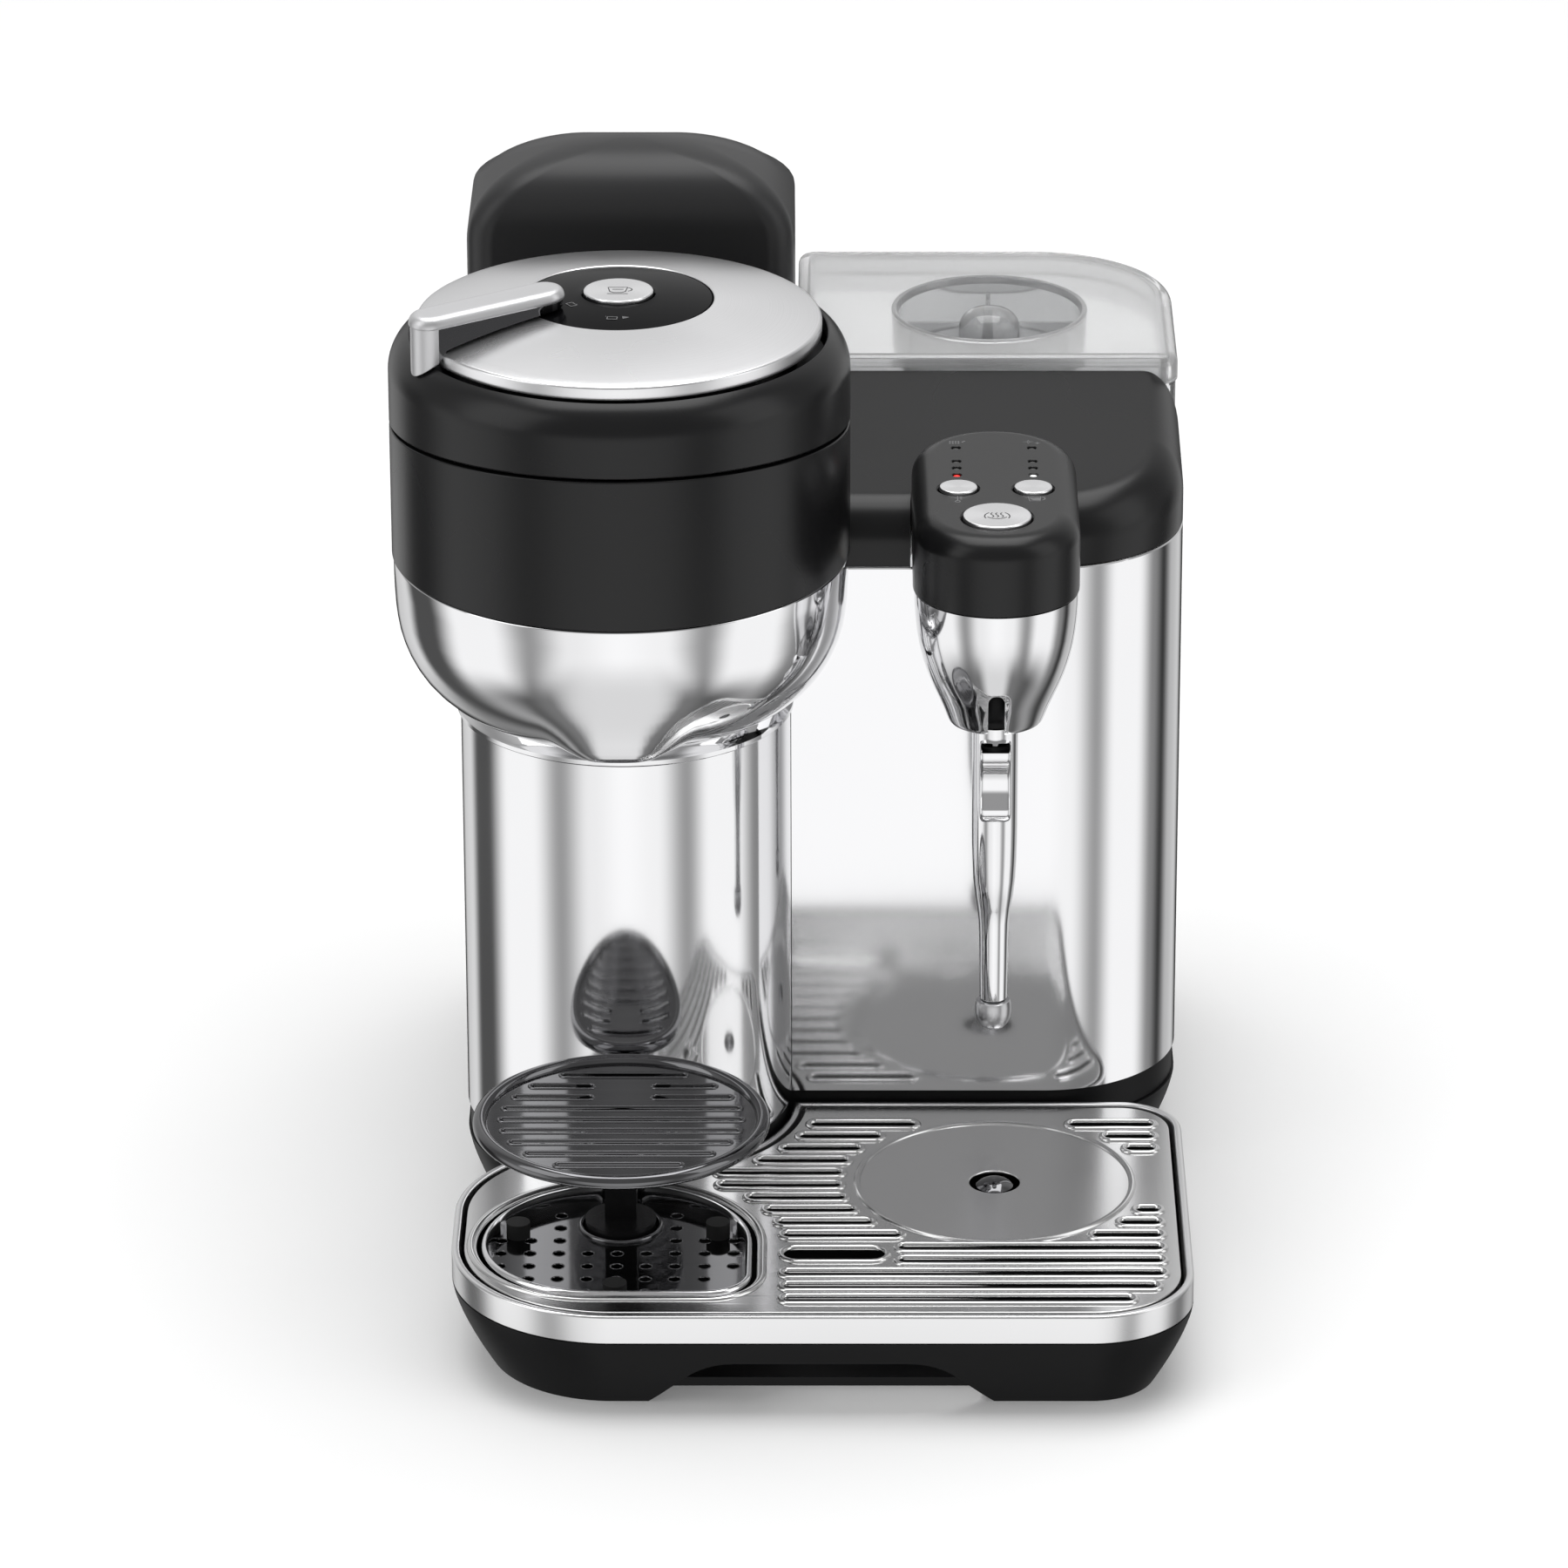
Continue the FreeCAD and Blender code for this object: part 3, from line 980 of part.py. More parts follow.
def make_main_board():
    board = box(-90, -20, 70, 71.6, 50, 108)
    transformer, relay = box(-80, -60, 71, 84, 60, 80), box(-50, -30, 71, 79, 60, 95)
    plug = box(-82, -62, 71, 77, 88, 102)
    return fuse_all([board, transformer, relay, plug])


def make_pump():
    body = Part.makeCylinder(17.0, 50.0, V(36.0, -4.0, 56.0), V(0, 1, 0))
    nose = Part.makeCylinder(9.0, 16.0, V(36.0, 46.0, 56.0), V(0, 1, 0))
    coil = box(17.0, 55.0, 6.0, 36.0, 37.0, 75.0)
    return fuse_all([body, nose, coil])


def make_coffee_heater():
    block = box(20.0, 80.0, 28.0, 62.0, 88.0, 185.0)
    return block.cut(box(30, 70, 20, 34, 96, 176))


save("water_pump", make_pump())
save("coffee_heater", make_coffee_heater())
save("steam_heater", rod(95.0, 8.0, 60.0, 150.0, 18.0).fuse(rod(95.0, 8.0, 150.0, 158.0, 5.0)))
save("flow_meter", rod(95.0, 45.0, 48.0, 60.0, 14.0).fuse(rod(95.0, 36.0, 60.0, 63.0, 3.0)))
save("solenoid_valve", make_solenoid())
save("hoses", make_hoses())
save("main_board", make_main_board())
save("cord_gland", gland_rod(GLAND_R, -3.0, 11.0).cut(gland_rod(GLAND_BORE_R, -10.0, 30.0)))
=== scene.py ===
# %% [markdown]
# # A pod coffee machine with a steam wand
# The machine stands on a worktop. A round brew head sits on a polished half column at the left,
# a slim steam head reaches out at the right, and a steel drip tray runs under both.
# The frame holds every part at its real size. This file gives the parts their finished surfaces.
# All sizes below are millimetres, and a mesh is turned into metres when it is made.

# %% Load the frame
import math

import bmesh
import bpy
from mathutils import Matrix, Vector


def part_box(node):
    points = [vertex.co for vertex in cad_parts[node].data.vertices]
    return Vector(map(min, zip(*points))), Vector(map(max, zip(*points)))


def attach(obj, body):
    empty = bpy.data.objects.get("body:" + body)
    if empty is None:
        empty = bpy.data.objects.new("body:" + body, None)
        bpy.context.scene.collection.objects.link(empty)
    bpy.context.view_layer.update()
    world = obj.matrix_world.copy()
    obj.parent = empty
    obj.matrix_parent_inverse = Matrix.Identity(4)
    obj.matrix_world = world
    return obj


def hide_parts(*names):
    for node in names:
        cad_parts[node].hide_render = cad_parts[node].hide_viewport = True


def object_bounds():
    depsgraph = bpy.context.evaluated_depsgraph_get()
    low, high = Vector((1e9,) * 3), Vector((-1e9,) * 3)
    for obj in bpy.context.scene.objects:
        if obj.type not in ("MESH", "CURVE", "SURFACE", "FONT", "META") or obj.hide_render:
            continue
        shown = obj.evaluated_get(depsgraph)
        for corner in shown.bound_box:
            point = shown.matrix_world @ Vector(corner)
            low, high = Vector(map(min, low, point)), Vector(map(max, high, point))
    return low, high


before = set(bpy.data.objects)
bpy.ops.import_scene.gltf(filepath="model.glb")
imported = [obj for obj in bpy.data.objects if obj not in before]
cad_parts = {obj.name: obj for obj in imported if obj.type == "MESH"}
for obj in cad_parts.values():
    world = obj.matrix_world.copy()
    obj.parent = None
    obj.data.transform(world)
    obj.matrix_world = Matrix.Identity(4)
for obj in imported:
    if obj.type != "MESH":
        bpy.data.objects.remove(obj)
cad_box = [list(corner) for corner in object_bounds()]
MM = 0.001

# %% [markdown]
# ## Sizes from the frame
# The finished pieces have to fit the parts they stand for. The sizes could be typed in again, but
# then the two would drift apart, so the main ones are read from the boxes of the parts.


# %% Read sizes from the frame
def span(node):
    """Lowest and highest corner of a part, in millimetres."""
    low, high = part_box(node)
    return low / MM, high / MM


def middle(node):
    low, high = span(node)
    return (low + high) / 2


head_low, head_high = span("lid_disc")
HEAD_X = (head_low.x + head_high.x) / 2
HEAD_Y = (head_low.y + head_high.y) / 2
DISC_R = (head_high.x - head_low.x) / 2
HEAD_R = HEAD_X - cad_box[0][0] / MM
PANEL_Y = span("front_panel")[0].y
FRONT = cad_box[0][1] / MM
REAR = cad_box[1][1] / MM
RIGHT = cad_box[1][0] / MM
COLUMN_R = HEAD_X - span("column_sleeve")[0].x
STEAM = middle("steam_head_cup")
STEAM_TOP = span("steam_head_cover")[1].z
print("head at", round(HEAD_X, 1), round(HEAD_Y, 1), "radius", round(HEAD_R, 1))
print("steam head at", round(STEAM.x, 1), round(STEAM.y, 1), "top", round(STEAM_TOP, 1))

# %% [markdown]
# ## Making meshes
# Most shells of the machine are either turned (bowl, lid, buttons) or drawn up from a plan
# outline (tray, covers). A loft through rings of points makes both, and the rings can follow
# a rounded edge exactly. A subdivided box would lose the crisp edges of pressed steel.
# Every piece passes through one function, which smooths it, gives it its finish and ties it to
# the body that it moves with.


# %% Objects from points
def finish_mesh(mesh, sharp=38.0):
    """Smooth faces, with edges above an angle kept sharp."""
    shape = bmesh.new()
    shape.from_mesh(mesh)
    bmesh.ops.remove_doubles(shape, verts=shape.verts, dist=2e-6)
    bmesh.ops.dissolve_degenerate(shape, edges=shape.edges, dist=1e-6)
    bmesh.ops.recalc_face_normals(shape, faces=shape.faces)
    for face in shape.faces:
        face.smooth = True
    for edge in shape.edges:
        edge.smooth = len(edge.link_faces) != 2 or edge.calc_face_angle(0) < math.radians(sharp)
    shape.to_mesh(mesh)
    shape.free()


def place(name, mesh, body, finish, node=None, sharp=38.0):
    """Make an object of a mesh, give it a finish, and let it ride on its body."""
    finish_mesh(mesh, sharp)
    piece = bpy.data.objects.new(name, mesh)
    bpy.context.scene.collection.objects.link(piece)
    mesh.materials.clear()
    mesh.materials.append(finish)
    weighted = piece.modifiers.new("weighted", "WEIGHTED_NORMAL")
    weighted.keep_sharp = True
    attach(piece, body)
    for replaced in ([node] if isinstance(node, str) else node or []):
        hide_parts(replaced)
    return piece


def mesh_from(points, faces):
    """Mesh in metres from points in millimetres."""
    mesh = bpy.data.meshes.new("shape")
    mesh.from_pydata([(x * MM, y * MM, z * MM) for x, y, z in points], [], faces)
    mesh.update()
    return mesh


print("piece helpers ready")

# %% [markdown]
# A loft joins rings of points with four-sided faces. A turned shape is a loft whose rings are
# circles, and a stacked shape is one whose rings are the same outline, drawn in or let out.


# %% Lofts and turned shapes
def loft(rings, capped=True, looped=False):
    """Skin through closed rings of equal length; looped joins the last ring to the first."""
    count = len(rings[0])
    points = [p for ring in rings for p in ring]
    faces = []
    pairs = [(i, i + 1) for i in range(len(rings) - 1)]
    if looped:
        pairs.append((len(rings) - 1, 0))
    for low, high in pairs:
        for k in range(count):
            j = (k + 1) % count
            faces.append((low * count + k, low * count + j, high * count + j, high * count + k))
    if capped and not looped:
        faces.append(tuple(range(count))[::-1])
        faces.append(tuple((len(rings) - 1) * count + k for k in range(count)))
    return mesh_from(points, faces)


def soften(points, radius, steps=5, closed=False):
    """Round the corners of an outline with short curves."""
    out = []
    count = len(points)
    for i, here in enumerate(points):
        if not closed and i in (0, count - 1):
            out.append(here)
            continue
        before, after = points[i - 1], points[(i + 1) % count]
        a = Vector((before[0] - here[0], before[1] - here[1]))
        b = Vector((after[0] - here[0], after[1] - here[1]))
        reach = min(radius, a.length * 0.45, b.length * 0.45)
        start, end = Vector(here) + a.normalized() * reach, Vector(here) + b.normalized() * reach
        for k in range(steps + 1):
            t = k / steps
            spot = start * (1 - t) ** 2 + Vector(here) * 2 * t * (1 - t) + end * t ** 2
            out.append((spot.x, spot.y))
    return out


def turned(x, y, outline, looped=False, steps=144, raise_z=None):
    """Turn an outline of (radius, height) about an upright axis."""
    rings = []
    for r, z in outline:
        ring = []
        for k in range(steps):
            a = 2 * math.pi * k / steps
            px, py = x + r * math.cos(a), y + r * math.sin(a)
            ring.append((px, py, z if raise_z is None else raise_z(px, py, z)))
        rings.append(ring)
    return loft(rings, capped=not looped, looped=looped)


def stacked(outline, profile, looped=False, lift=None):
    """Draw a plan outline up a profile of (inset, height)."""
    rings = []
    for inset, z in profile:
        rings.append([(x, y, z if lift is None else lift(x, y, z)) for x, y in outline(inset)])
    return loft(rings, capped=not looped, looped=looped)


print("loft helpers ready")

# %% [markdown]
# Pressed sheet needs holes, and its edges are never sharp. A filled curve makes holes of any
# outline in one go and rolls every edge, and the same curve tools bend round wire. A boolean is
# kept for openings through a shaped wall, where a curve can't follow.


# %% Joining, cutting and sheet work
def joined(*meshes):
    """Several meshes as one."""
    shape = bmesh.new()
    for mesh in meshes:
        shape.from_mesh(mesh)
    whole = bpy.data.meshes.new("shape")
    shape.to_mesh(whole)
    shape.free()
    return whole


def boolean(mesh, tool, operation="DIFFERENCE"):
    """Cut or join two closed meshes."""
    base = bpy.data.objects.new("base", mesh)
    cutter = bpy.data.objects.new("cutter", tool)
    for thing in (base, cutter):
        bpy.context.scene.collection.objects.link(thing)
        finish_mesh(thing.data)
    change = base.modifiers.new("cut", "BOOLEAN")
    change.operation, change.object, change.solver = operation, cutter, "EXACT"
    change.use_self = True
    bpy.context.view_layer.update()
    result = bpy.data.meshes.new_from_object(base.evaluated_get(bpy.context.evaluated_depsgraph_get()))
    for thing in (base, cutter):
        bpy.data.objects.remove(thing)
    return result


def as_mesh(curve):
    """Turn a curve into a plain mesh."""
    thing = bpy.data.objects.new("curve", curve)
    bpy.context.scene.collection.objects.link(thing)
    bpy.context.view_layer.update()
    mesh = bpy.data.meshes.new_from_object(thing.evaluated_get(bpy.context.evaluated_depsgraph_get()))
    bpy.data.objects.remove(thing)
    return mesh


def add_spline(curve, points, closed=True):
    spline = curve.splines.new("POLY")
    spline.points.add(len(points) - 1)
    for target, p in zip(spline.points, points):
        z = p[2] * MM if len(p) > 2 else 0.0
        target.co = (p[0] * MM, p[1] * MM, z, 1.0)
    spline.use_cyclic_u = closed


def sheet(outline, holes, low, high, roll):
    """Flat sheet with holes, every edge rolled over by a small radius."""
    curve = bpy.data.curves.new("sheet", "CURVE")
    curve.dimensions, curve.fill_mode = "2D", "BOTH"
    for loop in [outline] + holes:
        add_spline(curve, loop)
    curve.bevel_depth, curve.bevel_resolution = roll * MM, 3
    curve.extrude = max((high - low) / 2 - roll, 0.0) * MM
    curve.offset = -roll * MM
    mesh = as_mesh(curve)
    mesh.transform(Matrix.Translation((0, 0, (low + high) / 2 * MM)))
    return mesh


def wire(paths, radius, closed=True, resolution=3):
    """Round wire along one or more paths of (x, y, z)."""
    curve = bpy.data.curves.new("wire", "CURVE")
    curve.dimensions = "3D"
    curve.bevel_depth, curve.bevel_resolution = radius * MM, resolution
    curve.use_fill_caps = True
    for path in paths:
        add_spline(curve, path, closed)
    return as_mesh(curve)


print("sheet and wire helpers ready")

# %% [markdown]
# ## Plan outlines
# The tray and the body share one plan: arcs and straight edges. Each outline is a function of
# an inset, so a rounded edge is just the same outline drawn again, a little smaller and higher.


# %% Plan outlines
def arc(cx, cy, r, start, end, steps=16):
    """Points on an arc, angles in degrees, both ends included."""
    out = []
    for k in range(steps + 1):
        a = math.radians(start + (end - start) * k / steps)
        out.append((cx + r * math.cos(a), cy + r * math.sin(a)))
    return out


TRAY_LEFT = span("tray_trim_band")[0].x
TRAY_BACK = span("tray_trim_band")[1].y
# Corner radii of the tray: front left, front right, rear right and rear left.
FL_R, FR_R, RR_R, RL_R = 51.0, 32.0, 20.0, 50.0
COLUMN_GAP = 0.9


def tray_plan(inset):
    """Outline of the tray with the round cut for the column."""
    cut_r = COLUMN_R + COLUMN_GAP + inset
    back = TRAY_BACK - inset
    left_c = (TRAY_LEFT + RL_R, HEAD_Y - RL_R)
    left_r = RL_R - inset
    dx, dy = HEAD_X - left_c[0], PANEL_Y - left_c[1]
    gap = math.hypot(dx, dy)
    # The cut and the rear left corner are two circles, and the outline turns where they cross.
    along = (left_r ** 2 - cut_r ** 2 + gap ** 2) / (2 * gap)
    off = math.sqrt(max(left_r ** 2 - along ** 2, 0.0))
    meet = (left_c[0] + (along * dx - off * dy) / gap, left_c[1] + (along * dy + off * dx) / gap)
    cut_end = math.degrees(math.atan2(meet[1] - PANEL_Y, meet[0] - HEAD_X)) % 360 - 360
    cut_start = math.degrees(math.asin((back - PANEL_Y) / cut_r))
    left_start = math.degrees(math.atan2(meet[1] - left_c[1], meet[0] - left_c[0]))
    outline = arc(TRAY_LEFT + FL_R, FRONT + FL_R, FL_R - inset, 180, 270, 24)
    outline += arc(RIGHT - FR_R, FRONT + FR_R, FR_R - inset, 270, 360, 18)
    outline += arc(RIGHT - RR_R, TRAY_BACK - RR_R, max(RR_R - inset, 1.5), 0, 90, 12)
    outline += arc(HEAD_X, PANEL_Y, cut_r, cut_start, cut_end, 36)
    outline += arc(left_c[0], left_c[1], left_r, left_start, 180, 16)[1:]
    return outline


PANEL_CORNER_R, REAR_CORNER_R = 44.0, 45.0


def body_plan(inset):
    """Outline of the rear body: the round column, then the flat panel."""
    r = COLUMN_R - inset
    end = math.degrees(math.asin(inset / r))
    outline = arc(HEAD_X, PANEL_Y, r, 180, 360 + end, 48)
    outline += arc(RIGHT - PANEL_CORNER_R, PANEL_Y + PANEL_CORNER_R, PANEL_CORNER_R - inset, 270, 360, 16)
    outline += arc(RIGHT - REAR_CORNER_R, REAR - REAR_CORNER_R, REAR_CORNER_R - inset, 0, 90, 20)
    left_x, back_y = HEAD_X - COLUMN_R + REAR_CORNER_R, REAR - REAR_CORNER_R
    outline += arc(left_x, back_y, REAR_CORNER_R - inset, 90, 180, 20)
    return outline


WELL_X, WELL_Y, WELL_R = -55.2, -123.2, 43.4
# The well's front edge lies this far before its middle, with a small corner at the right.
WELL_DROP, WELL_CORNER_R = 36.5, 15.0


def well_plan(inset):
    """Outline of the round well at the tray's left."""
    r, left = WELL_R - inset, WELL_X - WELL_R + inset
    right, front = WELL_X + WELL_R - inset, WELL_Y - WELL_DROP + inset
    lower, corner = WELL_Y - front, max(WELL_CORNER_R - inset, 1.0)
    outline = arc(WELL_X, WELL_Y, r, 0, 180, 48)
    outline += arc(left + lower, WELL_Y, lower, 180, 270, 24)[1:]
    return outline + arc(right - corner, front + corner, corner, 270, 360, 12)


def stadium(x, y0, y1, r, steps=24):
    """Round-ended bar along Y."""
    return arc(x, y1, r, 0, 180, steps) + arc(x, y0, r, 180, 360, steps)


def slot(x0, x1, y, width, steps=8):
    """Round-ended slot along X."""
    r = width / 2
    return arc(x1 - r, y, r, -90, 90, steps) + arc(x0 + r, y, r, 90, 270, steps)


def round_edge(inset, top, r, steps=7):
    """Profile points (inset, height) round an outer top edge."""
    points = []
    for k in range(steps + 1):
        a = math.pi / 2 * k / steps
        points.append((inset + r * (1 - math.cos(a)), top - r * (1 - math.sin(a))))
    return points


print("tray outline points:", len(tray_plan(0.0)), "body outline points:", len(body_plan(0.0)))

# %% [markdown]
# ## Finishes
# Every finish is built from nodes: a base, a slow mottling that breaks up the gloss the way
# handling and polishing do, and a fine bump at the real grain's scale. Painted, moulded and
# metal parts differ mostly in how rough they are and in the direction of their grain.


# %% Finish builder
def nodes_of(name):
    """New material with its node tree and its main shader."""
    material = bpy.data.materials.new(name)
    material.use_nodes = True
    tree = material.node_tree
    return material, tree, tree.nodes["Principled BSDF"]


def put(tree, kind, **values):
    """Add a node and set its named inputs."""
    node = tree.nodes.new(kind)
    for key, value in values.items():
        node.inputs[key.replace("_", " ")].default_value = value
    return node


def noise_range(tree, vector, scale, low, high, detail=3.0):
    """Noise squeezed into a range, for roughness."""
    noise = put(tree, "ShaderNodeTexNoise", Scale=scale, Detail=detail)
    tree.links.new(vector, noise.inputs["Vector"])
    squeeze = put(tree, "ShaderNodeMapRange", From_Min=0.2, From_Max=0.8, To_Min=low, To_Max=high)
    squeeze.interpolation_type = "SMOOTHERSTEP"
    tree.links.new(noise.outputs["Fac"], squeeze.inputs["Value"])
    return squeeze.outputs["Result"], noise.outputs["Fac"]


def tinted(tree, factor, dark, light):
    """Two close tones of one colour, mixed by a pattern."""
    mix = tree.nodes.new("ShaderNodeMix")
    mix.data_type = "RGBA"
    mix.inputs["A"].default_value = (*dark, 1)
    mix.inputs["B"].default_value = (*light, 1)
    tree.links.new(factor, mix.inputs["Factor"])
    return mix.outputs["Result"]


def bumped(tree, shader, height, strength, distance):
    """Fine relief from a pattern, its depth given in millimetres."""
    bump = put(tree, "ShaderNodeBump", Strength=strength, Distance=distance * MM)
    tree.links.new(height, bump.inputs["Height"])
    tree.links.new(bump.outputs["Normal"], shader.inputs["Normal"])


GRAIN_DEPTH = 0.05


def make_finish(name, dark, light, metallic, rough, grain_scale, grain_bump,
                stretch=(1, 1, 1), mottle=9.0, specular=0.3):
    """A finish with mottled roughness, two tones and a fine grain; stretch draws the grain out."""
    material, tree, shader = nodes_of(name)
    coords = tree.nodes.new("ShaderNodeTexCoord")
    spread = put(tree, "ShaderNodeMapping", Scale=stretch)
    tree.links.new(coords.outputs["Object"], spread.inputs["Vector"])
    roughness, slow = noise_range(tree, coords.outputs["Object"], mottle, rough[0], rough[1])
    grain = put(tree, "ShaderNodeTexNoise", Scale=grain_scale, Detail=4.0)
    tree.links.new(spread.outputs["Vector"], grain.inputs["Vector"])
    tree.links.new(tinted(tree, slow, dark, light), shader.inputs["Base Color"])
    tree.links.new(roughness, shader.inputs["Roughness"])
    bumped(tree, shader, grain.outputs["Fac"], grain_bump, GRAIN_DEPTH)
    shader.inputs["Metallic"].default_value = metallic
    shader.inputs["Specular IOR Level"].default_value = specular
    return material


print("finish builder ready")


# %% [markdown]
# Black parts are a soft-touch moulding: a fine even grain, slightly glossier where it is handled.
# The inlay round the coffee button is a deeper, glossier black.

# %% Plastics and rubber
black_plastic = make_finish("black_plastic", (0.006, 0.006, 0.0065), (0.010, 0.010, 0.0105), 0.0,
                            (0.24, 0.31), 2600.0, 0.12, specular=0.32)
black_base = make_finish("black_base", (0.005, 0.005, 0.0055), (0.008, 0.008, 0.0085), 0.0,
                         (0.40, 0.50), 2200.0, 0.3, specular=0.16)
inner_plastic = make_finish("inner_plastic", (0.045, 0.045, 0.048), (0.07, 0.07, 0.074), 0.0,
                            (0.45, 0.6), 1800.0, 0.4)
bin_plastic = make_finish("bin_plastic", (0.024, 0.024, 0.025), (0.032, 0.032, 0.033), 0.0,
                          (0.32, 0.42), 2600.0, 0.2)
rubber = make_finish("rubber", (0.012, 0.012, 0.012), (0.022, 0.022, 0.022), 0.0,
                     (0.6, 0.75), 3000.0, 0.5)
silicone = make_finish("silicone", (0.62, 0.62, 0.60), (0.72, 0.72, 0.70), 0.0,
                       (0.35, 0.5), 900.0, 0.1)
gloss_black = make_finish("gloss_black", (0.003, 0.003, 0.0035), (0.005, 0.005, 0.0055), 0.0,
                          (0.10, 0.16), 1200.0, 0.03, specular=0.04)
print("plastics ready")

# %% [markdown]
# The metals share a colour and differ in polish. Chrome is almost a mirror, with a trace of
# polishing haze. Pressed steel shows a faint directional grain, and the band and the lid's disc
# are brushed until they glow rather than reflect.

# %% Metals
chrome = make_finish("chrome", (0.78, 0.78, 0.79), (0.84, 0.84, 0.85), 1.0, (0.045, 0.08), 160.0, 0.012)
polished_steel = make_finish("polished_steel", (0.80, 0.80, 0.81), (0.86, 0.86, 0.87), 1.0,
                             (0.07, 0.13), 500.0, 0.03, stretch=(1, 1, 0.05))
grille_steel = make_finish("grille_steel", (0.64, 0.64, 0.64), (0.74, 0.74, 0.74), 1.0,
                           (0.14, 0.22), 700.0, 0.05, stretch=(0.06, 1, 1))
band_steel = make_finish("band_steel", (0.76, 0.76, 0.765), (0.83, 0.83, 0.835), 1.0,
                         (0.24, 0.32), 1400.0, 0.10, stretch=(0.03, 0.03, 1))
# Dark chrome is a darker metal; on the lever's sides its dark colour is also a painted reflection of the
# black lid.
dark_chrome = make_finish("dark_chrome", (0.13, 0.13, 0.135), (0.18, 0.18, 0.185), 1.0,
                          (0.05, 0.10), 200.0, 0.02)
silver_paint = make_finish("silver_paint", (0.60, 0.60, 0.61), (0.68, 0.68, 0.69), 0.8,
                           (0.32, 0.42), 4200.0, 0.12)
machined_steel = make_finish("machined_steel", (0.50, 0.50, 0.51), (0.60, 0.60, 0.61), 1.0,
                             (0.22, 0.34), 900.0, 0.12, stretch=(1, 1, 8))
cast_aluminium = make_finish("cast_aluminium", (0.55, 0.55, 0.56), (0.66, 0.66, 0.67), 1.0,
                             (0.4, 0.55), 700.0, 0.5)
brass = make_finish("brass", (0.60, 0.42, 0.17), (0.72, 0.52, 0.24), 1.0, (0.2, 0.34), 800.0, 0.15)
print("metals ready")

# %% [markdown]
# Spun faces (the buttons and the lid's disc) have their grain in rings round their middle, so
# light spreads into a fan. Anisotropy with a radial tangent gives that fan, and fine concentric
# rings in the bump make it break up close to.


# %% Spun metal
def make_spun(name, tone, rough, anisotropic, cx, cy, rings):
    """Metal turned about an upright axis at (cx, cy), with fine grooves round it."""
    material, tree, shader = nodes_of(name)
    coords = tree.nodes.new("ShaderNodeTexCoord")
    shift = put(tree, "ShaderNodeMapping", Location=(-cx * MM, -cy * MM, 0), Scale=(1, 1, 0))
    tree.links.new(coords.outputs["Object"], shift.inputs["Vector"])
    length = tree.nodes.new("ShaderNodeVectorMath")
    length.operation = "LENGTH"
    tree.links.new(shift.outputs["Vector"], length.inputs[0])
    lines = put(tree, "ShaderNodeTexNoise", Scale=rings, Detail=5.0)
    lines.noise_dimensions = "1D"
    tree.links.new(length.outputs["Value"], lines.inputs["W"])
    roughness = noise_range(tree, coords.outputs["Object"], 14.0, rough[0], rough[1])[0]
    groove_tone = [c * 0.88 for c in tone]
    tree.links.new(tinted(tree, lines.outputs["Fac"], groove_tone, tone), shader.inputs["Base Color"])
    tree.links.new(roughness, shader.inputs["Roughness"])
    bumped(tree, shader, lines.outputs["Fac"], 0.06, 0.02)
    tangent = tree.nodes.new("ShaderNodeTangent")
    tangent.direction_type, tangent.axis = "RADIAL", "Z"
    tree.links.new(tangent.outputs["Tangent"], shader.inputs["Tangent"])
    shader.inputs["Metallic"].default_value = 1.0
    shader.inputs["Anisotropic"].default_value = anisotropic
    return material


spun_disc = make_spun("spun_disc", (0.86, 0.86, 0.87), (0.26, 0.32), 0.45, HEAD_X, HEAD_Y, 2600.0)
coffee_spun = make_spun("coffee_spun", (0.92, 0.92, 0.93), (0.22, 0.28), 0.6, HEAD_X, HEAD_Y, 3200.0)
print("spun faces ready")

# %% [markdown]
# The tank is a clear moulding with a light smoke tint. It transmits light but its surface is not
# perfect: a slow ripple and a faint haze stop it looking like empty air. The boards inside carry
# a pattern of tracks under green lacquer.


# %% Clear plastic, boards and lamps
def make_clear(name, tint, transmission, rough):
    """Clear plastic with a slow ripple and a little haze."""
    material, tree, shader = nodes_of(name)
    coords = tree.nodes.new("ShaderNodeTexCoord")
    roughness, slow = noise_range(tree, coords.outputs["Object"], 22.0, rough[0], rough[1])
    tree.links.new(tinted(tree, slow, [c * 0.97 for c in tint], tint), shader.inputs["Base Color"])
    tree.links.new(roughness, shader.inputs["Roughness"])
    bumped(tree, shader, slow, 0.05, 0.3)
    shader.inputs["Transmission Weight"].default_value = transmission
    shader.inputs["IOR"].default_value = 1.42
    return material


def make_board():
    """Green lacquer over a pattern of tracks."""
    material, tree, shader = nodes_of("circuit_board")
    coords = tree.nodes.new("ShaderNodeTexCoord")
    bricks = put(tree, "ShaderNodeTexBrick", Scale=160.0, Mortar_Size=0.035)
    bricks.inputs["Color1"].default_value = (0.012, 0.075, 0.03, 1)
    bricks.inputs["Color2"].default_value = (0.016, 0.10, 0.04, 1)
    bricks.inputs["Mortar"].default_value = (0.05, 0.22, 0.09, 1)
    tree.links.new(coords.outputs["Object"], bricks.inputs["Vector"])
    tree.links.new(bricks.outputs["Color"], shader.inputs["Base Color"])
    roughness = noise_range(tree, coords.outputs["Object"], 60.0, 0.2, 0.35)[0]
    tree.links.new(roughness, shader.inputs["Roughness"])
    return material


def make_lamp(name, colour, glow):
    """Lens of a status lamp, lit when glow is above zero."""
    material, tree, shader = nodes_of(name)
    coords = tree.nodes.new("ShaderNodeTexCoord")
    roughness, slow = noise_range(tree, coords.outputs["Object"], 300.0, 0.12, 0.25)
    tree.links.new(tinted(tree, slow, [c * 0.8 for c in colour], colour), shader.inputs["Base Color"])
    tree.links.new(roughness, shader.inputs["Roughness"])
    shader.inputs["Emission Color"].default_value = (*colour, 1)
    shader.inputs["Emission Strength"].default_value = glow
    return material


